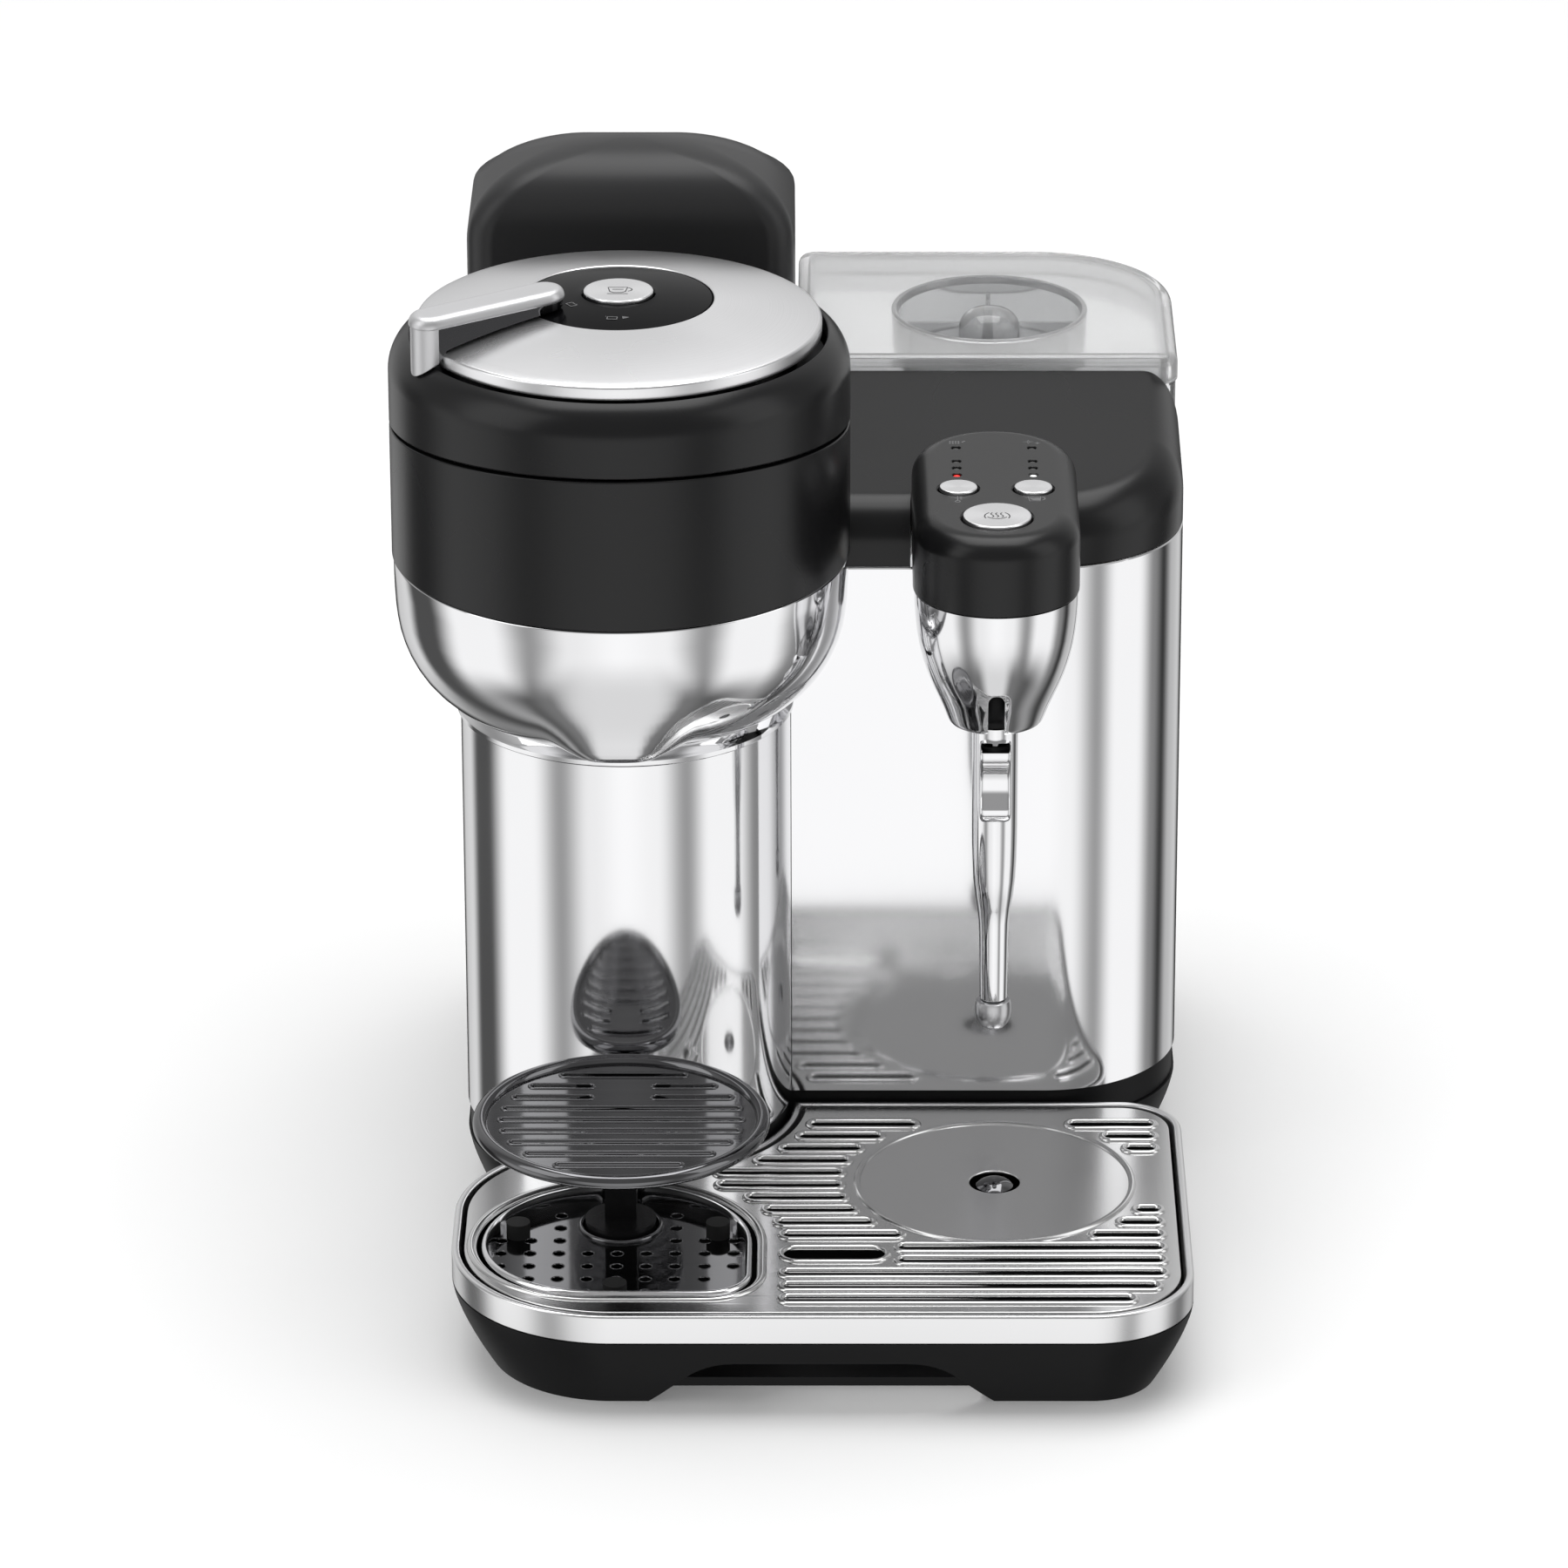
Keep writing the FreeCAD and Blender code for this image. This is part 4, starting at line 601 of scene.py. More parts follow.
clear_lid = make_clear("clear_lid", (0.96, 0.962, 0.965), 0.82, (0.08, 0.16))
clear_dish = make_clear("clear_dish", (0.80, 0.805, 0.81), 0.75, (0.06, 0.12))
clear_tank = make_clear("clear_tank", (0.93, 0.935, 0.94), 0.93, (0.04, 0.09))
circuit_board = make_board()
lamp_off = make_lamp("lamp_off", (0.05, 0.05, 0.05), 0.0)
lamp_red = make_lamp("lamp_red", (0.75, 0.02, 0.015), 1.2)
lamp_white = make_lamp("lamp_white", (0.95, 0.95, 0.95), 1.5)
print_grey = make_finish("print_grey", (0.17, 0.17, 0.175), (0.22, 0.22, 0.225), 0.0,
                         (0.35, 0.45), 900.0, 0.05)
print_dark = make_finish("print_dark", (0.05, 0.05, 0.052), (0.08, 0.08, 0.082), 0.0,
                         (0.3, 0.4), 900.0, 0.05)
print("finishes:", len(bpy.data.materials))

# %% [markdown]
# ## Finishes on the parts that keep their own shape
# Small machined parts and everything inside the housings are already right in the frame, so
# they only need their finish.

# %% Dress the carried-over parts
DRESSED = [
    (black_base, ["cup_post_socket"]),
    (black_plastic, ["cup_support_post", "rear_cover"]),
    (rubber, ["plate_bumpers", "rubber_feet", "drive_belt", "tank_seat_valve", "cord_gland"]),
    (dark_chrome, ["jug_temperature_sensor"]),
    (machined_steel, ["housing_screws", "holder_bearing", "capsule_holder", "spin_motor",
                      "lid_hinge_pin"]),
    (inner_plastic, ["chassis_frame", "brew_chamber_base", "holder_pulley", "lid_inner_liner",
                     "lock_ring", "piercing_plate", "water_pump", "flow_meter"]),
    (cast_aluminium, ["motor_pulley", "coffee_heater", "steam_heater"]),
    (brass, ["solenoid_valve"]),
    (silicone, ["hoses"]),
    (circuit_board, ["main_board", "steam_control_board"]),
]
for finish, nodes in DRESSED:
    for node in nodes:
        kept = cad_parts[node].data.materials
        kept.clear()
        kept.append(finish)
print("dressed parts:", sum(len(nodes) for finish, nodes in DRESSED))

# %% [markdown]
# ## The drip tray
# A black moulded base draws in towards the worktop and has an arched notch for the fingers.
# A satin steel band wraps its top edge. Both are lofts of the tray's outline; the notch is cut.

# %% Tray base and band
BAND_LOW = span("tray_trim_band")[0].z
TRAY_TOP = span("tray_trim_band")[1].z
BASE_TAPER, BASE_WALL = 11.5, 2.5
NOTCH_X, NOTCH_W, NOTCH_TOP_W = 9.0, 107.0, 72.0
NOTCH_H, NOTCH_DEEP = 17.5, 22.0


def base_profile(low, top, extra, steps=14):
    """A base's side from low to top: upright at the top, drawn in along a soft curve below."""
    heights = [low + (top - low) * k / steps for k in range(steps + 1)]
    return [(BASE_TAPER * (1 - z / top) ** 1.35 + extra, z) for z in heights]


def notch_tool():
    """Arch-shaped cutter for the front notch, its corners rounded."""
    low, high = NOTCH_W / 2, NOTCH_TOP_W / 2
    side = [(-low - 8, -6), (-low, 0.0), (-high, NOTCH_H), (high, NOTCH_H), (low, 0.0), (low + 8, -6)]
    side = [p for p in soften(side, 9.0, 6) if p[1] > -5.0]
    rings = []
    for y in (FRONT - 8, FRONT + NOTCH_DEEP):
        rings.append([(NOTCH_X + x, y, z) for x, z in side])
    return loft(rings)


outside = base_profile(0.0, BAND_LOW, 0.0)
inside = base_profile(3.0, BAND_LOW, BASE_WALL)
base = boolean(stacked(tray_plan, outside + inside[::-1]), notch_tool())
place("tray_base", base, "drip_tray", black_base, "tray_base_shell", 30)
band_profile = [(1.2, BAND_LOW), (0.35, BAND_LOW + 0.15), (0.0, BAND_LOW + 0.7)]
band_profile += round_edge(0.0, TRAY_TOP, 0.9, 5)
band_profile += [(1.9, TRAY_TOP), (2.3, TRAY_TOP - 0.25), (2.5, TRAY_TOP - 0.8)]
band_profile += [(2.5, BAND_LOW + 0.2), (2.3, BAND_LOW)]
band = stacked(tray_plan, band_profile, looped=True)
place("tray_band", band, "drip_tray", band_steel, "tray_trim_band")
print("tray base and band made")

# %% [markdown]
# ## The grille
# One steel pressing: rows of slots with rolled lips, a flat ring that centres the milk jug, and
# a wide slot for lifting it. A filled outline with holes gives the sheet, and a bead follows
# every slot, because the press pushes the metal up round the hole.

# %% Where the slots are
JUG = middle("jug_temperature_sensor")
JUG_R, SENSOR_HOLE_R = 45.0, 8.0
ROWS, FIRST_ROW, SLOT_PITCH = 15, 12.8, 9.0
SLOT_W, SHORTEST_SLOT, SIDE_MARGIN = 4.2, 7.0, 9.0
ROW_LEFT = -3.0
# The wide finger slot lies between two rows, which start to the right of it.
FINGER_ROWS, FINGER_W, FINGER_RIGHT, BESIDE_FINGER = (3, 4), 9.0, 29.0, 33.0
GRILLE_TOP = TRAY_TOP - 0.4
GRILLE_LOW = GRILLE_TOP - 1.2


def row_span(y):
    """Left and right end of a row of slots."""
    right = RIGHT - SIDE_MARGIN
    corner_y = FRONT + FR_R
    if y < corner_y:
        right = RIGHT - FR_R + math.sqrt(max((FR_R - SIDE_MARGIN) ** 2 - (corner_y - y) ** 2, 0.0))
    left = ROW_LEFT
    if y > WELL_Y:
        well = WELL_R + SIDE_MARGIN
        dy = y - WELL_Y
        left = WELL_X + math.sqrt(max(well ** 2 - dy ** 2, 0.0)) if dy < well else HEAD_X
        column = COLUMN_R + SIDE_MARGIN
        dy = y - PANEL_Y
        if abs(dy) < column:
            left = max(left, HEAD_X + math.sqrt(column ** 2 - dy ** 2))
    return left, right


def slot_rows():
    """(left end, right end, y, width) of every slot."""
    rows = []
    clear = JUG_R + 4.0
    for i in range(ROWS):
        y = FRONT + FIRST_ROW + SLOT_PITCH * i
        left, right = row_span(y)
        dy = abs(y - JUG.y)
        spans = [(left, right)]
        if dy < clear:
            half = math.sqrt(clear ** 2 - dy ** 2)
            spans = [(left, JUG.x - half), (JUG.x + half, right)]
        if i in FINGER_ROWS:
            spans = [(BESIDE_FINGER, right)]
        rows += [(x0, x1, y, SLOT_W) for x0, x1 in spans if x1 - x0 > SHORTEST_SLOT]
    finger_row = sum(FINGER_ROWS) / 2
    rows.append((ROW_LEFT, FINGER_RIGHT, FRONT + FIRST_ROW + SLOT_PITCH * finger_row, FINGER_W))
    return rows


print("slots in the grille:", len(slot_rows()))

# %% [markdown]
# The sheet, the lips, the groove round the well, the raised ring for the jug and the skirt under
# the edge are made apart and joined, because on the real grille they are all one pressing.

# %% The pressed sheet
SHEET_INSET, SHEET_ROLL = 3.9, 0.5
LIP_R, LIP_OUT = 1.15, 0.8
SKIRT_LOW = 26.2


def ring_path(outline, z):
    return [(x, y, z) for x, y in outline]


def jug_ring():
    """Raised ring that centres the milk jug."""
    profile = [(-2.4, -0.2), (-2.1, 0.45), (-1.4, 0.8), (-0.7, 0.8), (-0.2, 0.4), (0.0, -0.2)]
    outline = [(JUG_R + out, GRILLE_TOP + up) for out, up in profile]
    return turned(JUG.x, JUG.y, outline, looped=True)


def make_grille():
    """The whole pressing: sheet, lips, groove, ring and skirt."""
    rows = slot_rows()
    holes = [slot(x0, x1, y, w) for x0, x1, y, w in rows]
    holes.append(well_plan(-0.6))
    holes.append(arc(JUG.x, JUG.y, SENSOR_HOLE_R, 0, 350, 35))
    flat = sheet(tray_plan(SHEET_INSET), holes, GRILLE_LOW, GRILLE_TOP, SHEET_ROLL)
    lip_paths = [slot(x0 - LIP_OUT, x1 + LIP_OUT, y, w + 2 * LIP_OUT) for x0, x1, y, w in rows]
    lips = wire([ring_path(path, GRILLE_TOP - 0.25) for path in lip_paths], LIP_R)
    groove = wire([ring_path(well_plan(-2.6), GRILLE_TOP - 0.4)], 1.3)
    skirt_profile = [(4.0, GRILLE_TOP - 0.5), (4.0, SKIRT_LOW), (5.1, SKIRT_LOW), (5.1, GRILLE_TOP - 0.6)]
    skirt = stacked(tray_plan, skirt_profile, looped=True)
    return joined(flat, lips, groove, jug_ring(), skirt)


place("grille", make_grille(), "drip_grille", grille_steel, "drip_grille")
print("grille made")

# %% [markdown]
# ## The well and its perforated plate
# The left side drops into a round well with a dark mirror plate. A fat rolled rim holds it, and
# a keyhole takes the post of the cup platform.

# %% Perforated plate
PLATE_Z, PLATE_INSET = 30.0, 2.8
KEY = (middle("cup_post_socket").x, -100.7)
KEY_R, KEY_HALF, KEY_BACK = 12.0, 5.35, 16.2
HOLE_R, HOLE_PITCH, HOLE_SHIFT = 1.75, 9.15, 2.4


def keyhole(grow, steps=40):
    """Round hole with a slot running back."""
    r, half = KEY_R + grow, KEY_HALF + grow
    lean = math.degrees(math.asin(half / r))
    outline = arc(KEY[0], KEY[1], r, 90 + lean, 450 - lean, steps)
    back = KEY[1] + KEY_BACK + grow
    return outline + [(KEY[0] + half, back), (KEY[0] - half, back)]


def drain_spot(column, row):
    return WELL_X + HOLE_PITCH * column, WELL_Y + HOLE_SHIFT + (row - 2) * SLOT_PITCH


def drain_holes():
    """Rows of holes clear of the keyhole, and two pairs beside its slot."""
    spots = []
    for reach, row in ((4, 3), (4, 2), (4, 1), (3, 0), (2, -1)):
        for column in range(-reach, reach + 1):
            x, y = drain_spot(column, row)
            if math.hypot(x - KEY[0], y - KEY[1]) > KEY_R + 4.0:
                spots.append((x, y))
    for column in (-2, 2):
        for row in (4, 5):
            spots.append(drain_spot(column, row))
    return spots


spots = drain_holes()
holes = [arc(x, y, HOLE_R, 0, 345, 23) for x, y in spots] + [keyhole(0.0)]
plate = sheet(well_plan(PLATE_INSET), holes, PLATE_Z - 0.5, PLATE_Z, 0.2)
hole_rings = [arc(x, y, HOLE_R + 0.25, 0, 340, 17) for x, y in spots]
hole_lips = wire([ring_path(ring, PLATE_Z - 0.05) for ring in hole_rings], 0.17)
key_lip = wire([ring_path(keyhole(0.7), PLATE_Z + 0.2)], 0.9)
whole_plate = joined(plate, hole_lips, key_lip)
place("well_plate", whole_plate, "drip_grille", dark_chrome, "perforated_plate")
rim_profile = [(3.4, PLATE_Z - 1.2), (3.3, 32.4), (3.1, 33.8), (2.8, 34.8), (2.3, 35.35), (1.8, 35.4)]
rim_profile += [(1.2, 35.05), (0.8, 34.3), (0.5, 33.0), (0.4, PLATE_Z - 1.2)]
well_rim = stacked(well_plan, rim_profile, looped=True)
place("well_rim", well_rim, "drip_grille", polished_steel)
print("drain holes:", len(spots))

# %% [markdown]
# ## The cup platform
# A thin slotted disc with a rolled wire rim, in the same dark chrome, on a black post. The disc is
# a sheet with slots, and the rim is a round section turned about the disc's axis.

# %% Cup platform
PLATFORM = middle("cup_platform")
platform_low, platform_high = span("cup_platform")
PLATFORM_TOP = platform_high.z
PLATFORM_R = (platform_high.x - platform_low.x) / 2
BAR_PITCH, BAR_SLOT_W, BAR_MARGIN = 8.2, 3.6, 8.0
# Two rows near the back leave the middle closed, where the post is fixed.
SPLIT_ROWS, SPLIT_HALF = (2, 3), 9.0
RIM_R = 2.3


def platform_slots():
    """Outlines of the slots, row by row."""
    slots = []
    for i in range(-4, 5):
        half = math.sqrt((PLATFORM_R - BAR_MARGIN) ** 2 - (BAR_PITCH * i) ** 2)
        y = PLATFORM.y + BAR_PITCH * i
        left, right = PLATFORM.x - half, PLATFORM.x + half
        if i in SPLIT_ROWS:
            slots.append(slot(left, PLATFORM.x - SPLIT_HALF, y, BAR_SLOT_W))
            slots.append(slot(PLATFORM.x + SPLIT_HALF, right, y, BAR_SLOT_W))
        else:
            slots.append(slot(left, right, y, BAR_SLOT_W))
    return slots


bars = platform_slots()
disc_edge = arc(PLATFORM.x, PLATFORM.y, PLATFORM_R - 2.0, 0, 357.5, 143)
disc = sheet(disc_edge, bars, PLATFORM_TOP - 3.4, PLATFORM_TOP - 2.0, 0.5)
bar_lips = wire([ring_path(bar, PLATFORM_TOP - 2.15) for bar in bars], 0.55)
rim_section = arc(PLATFORM_R - RIM_R, PLATFORM_TOP - RIM_R, RIM_R, 0, 345, 23)
rim = turned(PLATFORM.x, PLATFORM.y, rim_section, looped=True)
platform = joined(disc, bar_lips, rim)
place("cup_platform_disc", platform, "cup_support", dark_chrome, "cup_platform")
print("platform slots:", len(bars))

# %% [markdown]
# ## The column, neck and bowl
# The polished column is a half round that runs back along the left side. Above it a concave neck
# flows into the chrome bowl. The bowl is turned, and then its front is drawn into a pouring
# spout: near the middle each point slides from the plain outline to the spout's outline.

# %% Column and neck
SKIRT_TOP = span("column_sleeve")[0].z
COLUMN_TOP = span("column_sleeve")[1].z
SHEET_WALL = 1.2


def column_plan(inset):
    """Half round with straight sides running back on the left; the right side ends at the panel."""
    back = span("column_sleeve")[1].y
    r = COLUMN_R - inset
    return [(HEAD_X - r, back)] + arc(HEAD_X, PANEL_Y, r, 180, 359.5, 72)


def open_wall(plan, thickness, low, high, roll=0.4):
    """Bent sheet along an open plan line, with thickness and rolled top and bottom edges."""
    rings = []
    for inset, z in ((roll, low), (0.0, low + roll), (0.0, high - roll), (roll, high)):
        outside = [(x, y, z) for x, y in plan(inset)]
        inside = [(x, y, z) for x, y in plan(thickness)]
        rings.append(outside + inside[::-1])
    return loft(rings)


column = open_wall(column_plan, SHEET_WALL, SKIRT_TOP, COLUMN_TOP)
place("column", column, "machine", polished_steel, "column_sleeve")

# Radius of the neck at each height above the column.
NECK_R = 53.6
neck_curve = [(47.0, 0.0), (NECK_R - 0.4, 0.0), (NECK_R, 0.4), (NECK_R, 1.8), (NECK_R - 0.5, 2.4),
              (51.9, 3.6), (50.9, 5.6), (50.3, 8.4), (50.1, 12.0), (50.2, 16.0), (50.8, 21.0),
              (51.6, 26.0), (52.2, 30.0), (47.0, 30.0)]


def neck_shape():
    """Ring about the column's axis, kept to the part in front of the rear cover."""
    back = span("column_neck")[1].y
    lean = math.degrees(math.asin(min((back - PANEL_Y) / NECK_R, 1.0)))
    rings = []
    for a in [180 - lean + (180 + 2 * lean) * k / 108 for k in range(109)]:
        c, s = math.cos(math.radians(a)), math.sin(math.radians(a))
        rings.append([(HEAD_X + r * c, PANEL_Y + r * s, COLUMN_TOP + up) for r, up in neck_curve])
    return loft(rings)


place("neck", neck_shape(), "machine", chrome, "column_neck")
print("column and neck made")

# %% [markdown]
# The bowl's plain outline and its outline through the spout have the same number of points. A
# point slides from one to the other as it nears the front, so the spout grows out of the round
# wall with no seam. The inside is a plain hollow, which leaves room for the spinning holder.

# %% The bowl and its spout
BOWL_TOP = span("brew_head_band")[0].z
bowl_inside = [(50.0, 203.0), (58.0, 206.0), (64.0, 212.0), (68.0, 222.0), (69.0, 232.0),
               (69.0, BOWL_TOP - 0.3)]
bowl_rim = [(70.4, BOWL_TOP - 0.3), (71.0, BOWL_TOP - 0.9)]
bowl_outline = [(70.95, 234.0), (70.8, 229.0), (70.5, 224.0), (70.1, 220.5), (69.5, 217.0),
                (68.5, 213.4), (67.2, 210.0), (65.5, 206.6), (63.3, 203.2), (60.6, 200.0),
                (57.4, 197.0), (53.6, 194.3), (49.0, 191.8), (43.5, 189.8), (37.0, 188.3),
                (29.0, 187.2), (20.0, 186.6), (10.0, 186.3), (0.0, 186.2)]
spout_outline = [(70.9, 234.0), (70.5, 229.0), (69.7, 224.0), (68.8, 220.0), (67.8, 216.0),
                 (66.7, 212.0), (65.7, 208.0), (64.8, 204.0), (64.0, 200.0), (63.4, 196.5),
                 (62.9, 194.4), (61.8, 193.4), (60.0, 193.6), (57.5, 195.2), (53.5, 196.0),
                 (46.0, 193.0), (32.0, 188.2), (14.0, 186.4), (0.0, 186.2)]
# Degrees to each side of the front where the spout is still full, and where it has ended.
SPOUT_FULL, SPOUT_END = 5.0, 24.0


def smooth(t):
    """Rise from 0 to 1 with soft ends."""
    t = min(max(t, 0.0), 1.0)
    return t * t * (3 - 2 * t)


def bowl_mesh(steps=216):
    """Bowl turned about the head's axis, its front drawn into the spout."""
    shared = bowl_inside + bowl_rim
    rings = []
    for plain, drawn in zip(shared + bowl_outline, shared + spout_outline):
        ring = []
        for k in range(steps):
            a = 2 * math.pi * k / steps
            off = abs((math.degrees(a) - 270 + 180) % 360 - 180)
            pull = smooth((SPOUT_END - off) / (SPOUT_END - SPOUT_FULL))
            r = plain[0] + (drawn[0] - plain[0]) * pull
            z = plain[1] + (drawn[1] - plain[1]) * pull
            ring.append((HEAD_X + r * math.cos(a), HEAD_Y + r * math.sin(a), z))
        rings.append(ring)
    return loft(rings)


place("bowl", bowl_mesh(), "machine", chrome, "brew_bowl", 50)
print("bowl made")

# %% [markdown]
# ## The brew head
# The black band ends at a seam that rises towards the front. The lid closes on it with a thin
# shadow gap, rounds over its shoulder and carries a spun metal disc with a gloss black inlay.

# %% Band and lid
SEAM_Z, SEAM_GAP = 283.0, 0.9
SEAM_SLOPE = math.tan(math.radians(5.0))
SHOULDER_Z, SHOULDER_R = 301.0, 13.0
BAND_INNER_R = 68.9


def seam_z(y):
    """Height of the seam between band and lid, which rises towards the front."""
    return SEAM_Z - (y - HEAD_Y) * SEAM_SLOPE


def tilt_top(x, y, z):
    """Points above the band's middle follow the seam's slope."""
    share = smooth((z - 262.0) / 16.0)
    return z + (seam_z(y) - SEAM_Z) * share


def tilt_low(x, y, z):
    """Points near the lid's lower edge follow the seam's slope."""
    share = smooth((SHOULDER_Z - 2.0 - z) / 12.0)
    return z + (seam_z(y) - SEAM_Z) * share


band_corners = [(BAND_INNER_R, BOWL_TOP), (HEAD_R, BOWL_TOP), (HEAD_R, 262.0), (HEAD_R, 278.0),
                (HEAD_R, SEAM_Z), (BAND_INNER_R, SEAM_Z), (BAND_INNER_R, 262.0)]
band_outline = soften(band_corners, 0.6, 4, closed=True)
centre_r = HEAD_R - SHOULDER_R
shoulder = arc(centre_r, SHOULDER_Z, SHOULDER_R, 0, 60, 12)
edge_r, edge_z = shoulder[-1]
lid_outline = [(68.6, SEAM_Z + SEAM_GAP), (HEAD_R - 0.5, SEAM_Z + SEAM_GAP)]
lid_outline += [(HEAD_R, SEAM_Z + SEAM_GAP + 0.6), (HEAD_R, SHOULDER_Z - 8.0)] + shoulder
lid_outline += [(edge_r - 0.4, edge_z - 0.3), (edge_r - 0.5, edge_z - 4.0)]
lid_outline += [(68.4, SHOULDER_Z + 1.0), (68.4, SHOULDER_Z - 10.0)]
print("outlines of the band and the lid:", len(band_outline), len(lid_outline))

# %% [markdown]
# The hinge is behind the head. Two ears stand on the band and a knuckle hangs off the lid, and
# both are side outlines drawn across the machine with their end faces eased.

# %% Hinge
HINGE = middle("lid_hinge_pin")
EAR_AT, EAR_HALF, EAR_R = 24.0, 4.0, 6.0
KNUCKLE_HALF, KNUCKLE_R = 19.0, 5.0


def across(outline, x0, x1, ease=0.6):
    """Draw a side outline of (y, z), given as a function of an inset, from x0 to x1."""
    rings = []
    for x, inset in ((x0, ease), (x0 + ease, 0.0), (x1 - ease, 0.0), (x1, ease)):
        rings.append([(x, y, z) for y, z in outline(inset)])
    return loft(rings)


def ear_outline(inset):
    """Side of an ear: a straight foot on the band, round about the pin."""
    back, r = HINGE.y + EAR_R - inset, EAR_R - inset
    low = BOWL_TOP + 12.6 + inset
    return [(13.5, low), (back, low)] + arc(HINGE.y, HINGE.z, r, 0, 180, 14) + [(13.5, HINGE.z - 0.4)]


def knuckle_outline(inset):
    """Side of the knuckle: round about the pin, with an arm to the lid."""
    r = KNUCKLE_R - inset
    return arc(HINGE.y, HINGE.z, r, -180, 90, 18) + [(16.0, HINGE.z + r), (16.0, HINGE.z + 1.6 + inset)]


ear_spots = [HEAD_X + side * EAR_AT for side in (-1, 1)]
ears = [across(ear_outline, x - EAR_HALF, x + EAR_HALF) for x in ear_spots]
band_mesh = turned(HEAD_X, HEAD_Y, band_outline, looped=True, steps=180, raise_z=tilt_top)
place("head_band", joined(band_mesh, *ears), "machine", black_plastic, "brew_head_band")
ring_mesh = turned(HEAD_X, HEAD_Y, lid_outline, looped=True, steps=180, raise_z=tilt_low)
knuckle = across(knuckle_outline, HEAD_X - KNUCKLE_HALF, HEAD_X + KNUCKLE_HALF)
place("lid_ring", joined(ring_mesh, knuckle), "lid", black_plastic, "lid_shell")
print("head band, lid ring and hinge made")

# %% [markdown]
# The lid's face is a shallow dome in two parts. The outer one is spun steel and turns down at
# its rim, and the inner one is gloss black with a round hole for the coffee button.

# %% Lid faces
DISC_EDGE_Z, DOME_RISE = 316.5, 8.5
INSERT_R, BUTTON_R = 29.2, 10.8


def dome_z(r):
    """Height of the lid's dome at a distance from the head's axis."""
    return DISC_EDGE_Z + DOME_RISE * (1 - (r / DISC_R) ** 2)


def dome_points(r0, r1, sink, steps):
    """Points over the dome from the inner to the outer radius."""
    radii = [r0 + (r1 - r0) * k / steps for k in range(steps + 1)]
    return [(r, dome_z(r) - sink) for r in radii]


rim_z = dome_z(DISC_R)
disc_outline = [(INSERT_R + 0.3, dome_z(INSERT_R) - 1.4), (INSERT_R + 0.3, dome_z(INSERT_R) - 0.3)]
disc_outline += dome_points(INSERT_R + 0.6, DISC_R - 0.9, 0.0, 12)
disc_outline += [(DISC_R - 0.3, rim_z - 0.1), (DISC_R, rim_z - 0.6), (DISC_R, rim_z - 4.0)]
disc_outline += [(DISC_R - 1.2, rim_z - 4.0), (DISC_R - 1.2, rim_z - 1.6)]
disc_face = turned(HEAD_X, HEAD_Y, disc_outline, looped=True, steps=180)
place("lid_disc_face", disc_face, "lid", spun_disc, "lid_disc")
insert_outline = [(BUTTON_R + 0.4, dome_z(0) - 3.3), (BUTTON_R + 0.4, dome_z(0) - 0.9)]
insert_outline += [(BUTTON_R + 0.8, dome_z(0) - 0.5)]
insert_outline += dome_points(BUTTON_R + 1.4, INSERT_R - 0.3, 0.3, 8)
insert_outline += [(INSERT_R, dome_z(INSERT_R) - 0.7), (INSERT_R, dome_z(INSERT_R) - 3.0)]
inlay = turned(HEAD_X, HEAD_Y, insert_outline, looped=True)
place("lid_inlay", inlay, "lid", gloss_black, "lid_insert")
print("lid faces made")

# %% [markdown]
# The lock lever is a bar with round ends. Its top slopes a little towards the rim, its underside
# follows the dome and the shoulder, and all of its upper edge is rounded. The top is silver
# paint, and the sides are dark chrome, whose dark colour is a painted reflection of the black lid.

# %% Lock lever
LEVER_ANGLE = math.radians(207.0)
LEVER_HALF, LEVER_R0, LEVER_R1 = 6.7, 19.0, 70.3
# Steps round each end of the bar and along each side, which make a ring of 60 corners.
END_STEPS, SIDE_STEPS = 16, 14
LEVER_CORNERS = 2 * (END_STEPS + SIDE_STEPS)


def lever_outline(inset):
    """Bar outline in the lever's own direction, its long sides divided so they can bend."""
    r = LEVER_HALF - inset
    inner, outer = LEVER_R0 + LEVER_HALF, LEVER_R1 - LEVER_HALF
    side = [inner + (outer - inner) * k / SIDE_STEPS for k in range(1, SIDE_STEPS)]
    outline = arc(outer, 0, r, -90, 90, END_STEPS) + [(x, r) for x in side[::-1]]
    return outline + arc(inner, 0, r, 90, 270, END_STEPS) + [(x, -r) for x in side]


def lever_top(r):
    """Height of the lever's top, which falls a little towards the rim."""
    return 331.2 - 3.2 * (r - 15.0) / 60.0


def lever_under(r):
    """Clear of the dome, then of the lid's shoulder beyond the disc."""
    shoulder_z = SHOULDER_Z + math.sqrt(max((SHOULDER_R + 0.7) ** 2 - max(r - centre_r, 0.0) ** 2, 0.0))
    share = smooth((r - DISC_R + 0.6) / 1.2)
    return (dome_z(min(r, DISC_R)) + 0.6) * (1 - share) + shoulder_z * share


def lever_ring(inset, step, at_top):
    """Outline set down from the lever's top by a step, or up from its underside."""
    c, s = math.cos(LEVER_ANGLE), math.sin(LEVER_ANGLE)
    ring = []
    for x, y in lever_outline(inset):
        z = lever_top(x) - step if at_top else lever_under(math.hypot(x, y)) + step
        ring.append((HEAD_X + x * c - y * s, HEAD_Y + x * s + y * c, z))
    return ring


# For each part of the bar: its corners, and the corners where its rungs start.
MID_TIP = END_STEPS // 2
MID_INNER = END_STEPS + SIDE_STEPS + END_STEPS // 2
LEVER_PARTS = {
    "whole": (list(range(LEVER_CORNERS)), range(MID_TIP, MID_INNER)),
    "tip": (list(range(END_STEPS + 1)), range(MID_TIP, END_STEPS)),
    "bar": (list(range(END_STEPS, LEVER_CORNERS)) + [0], range(END_STEPS, MID_INNER)),
}


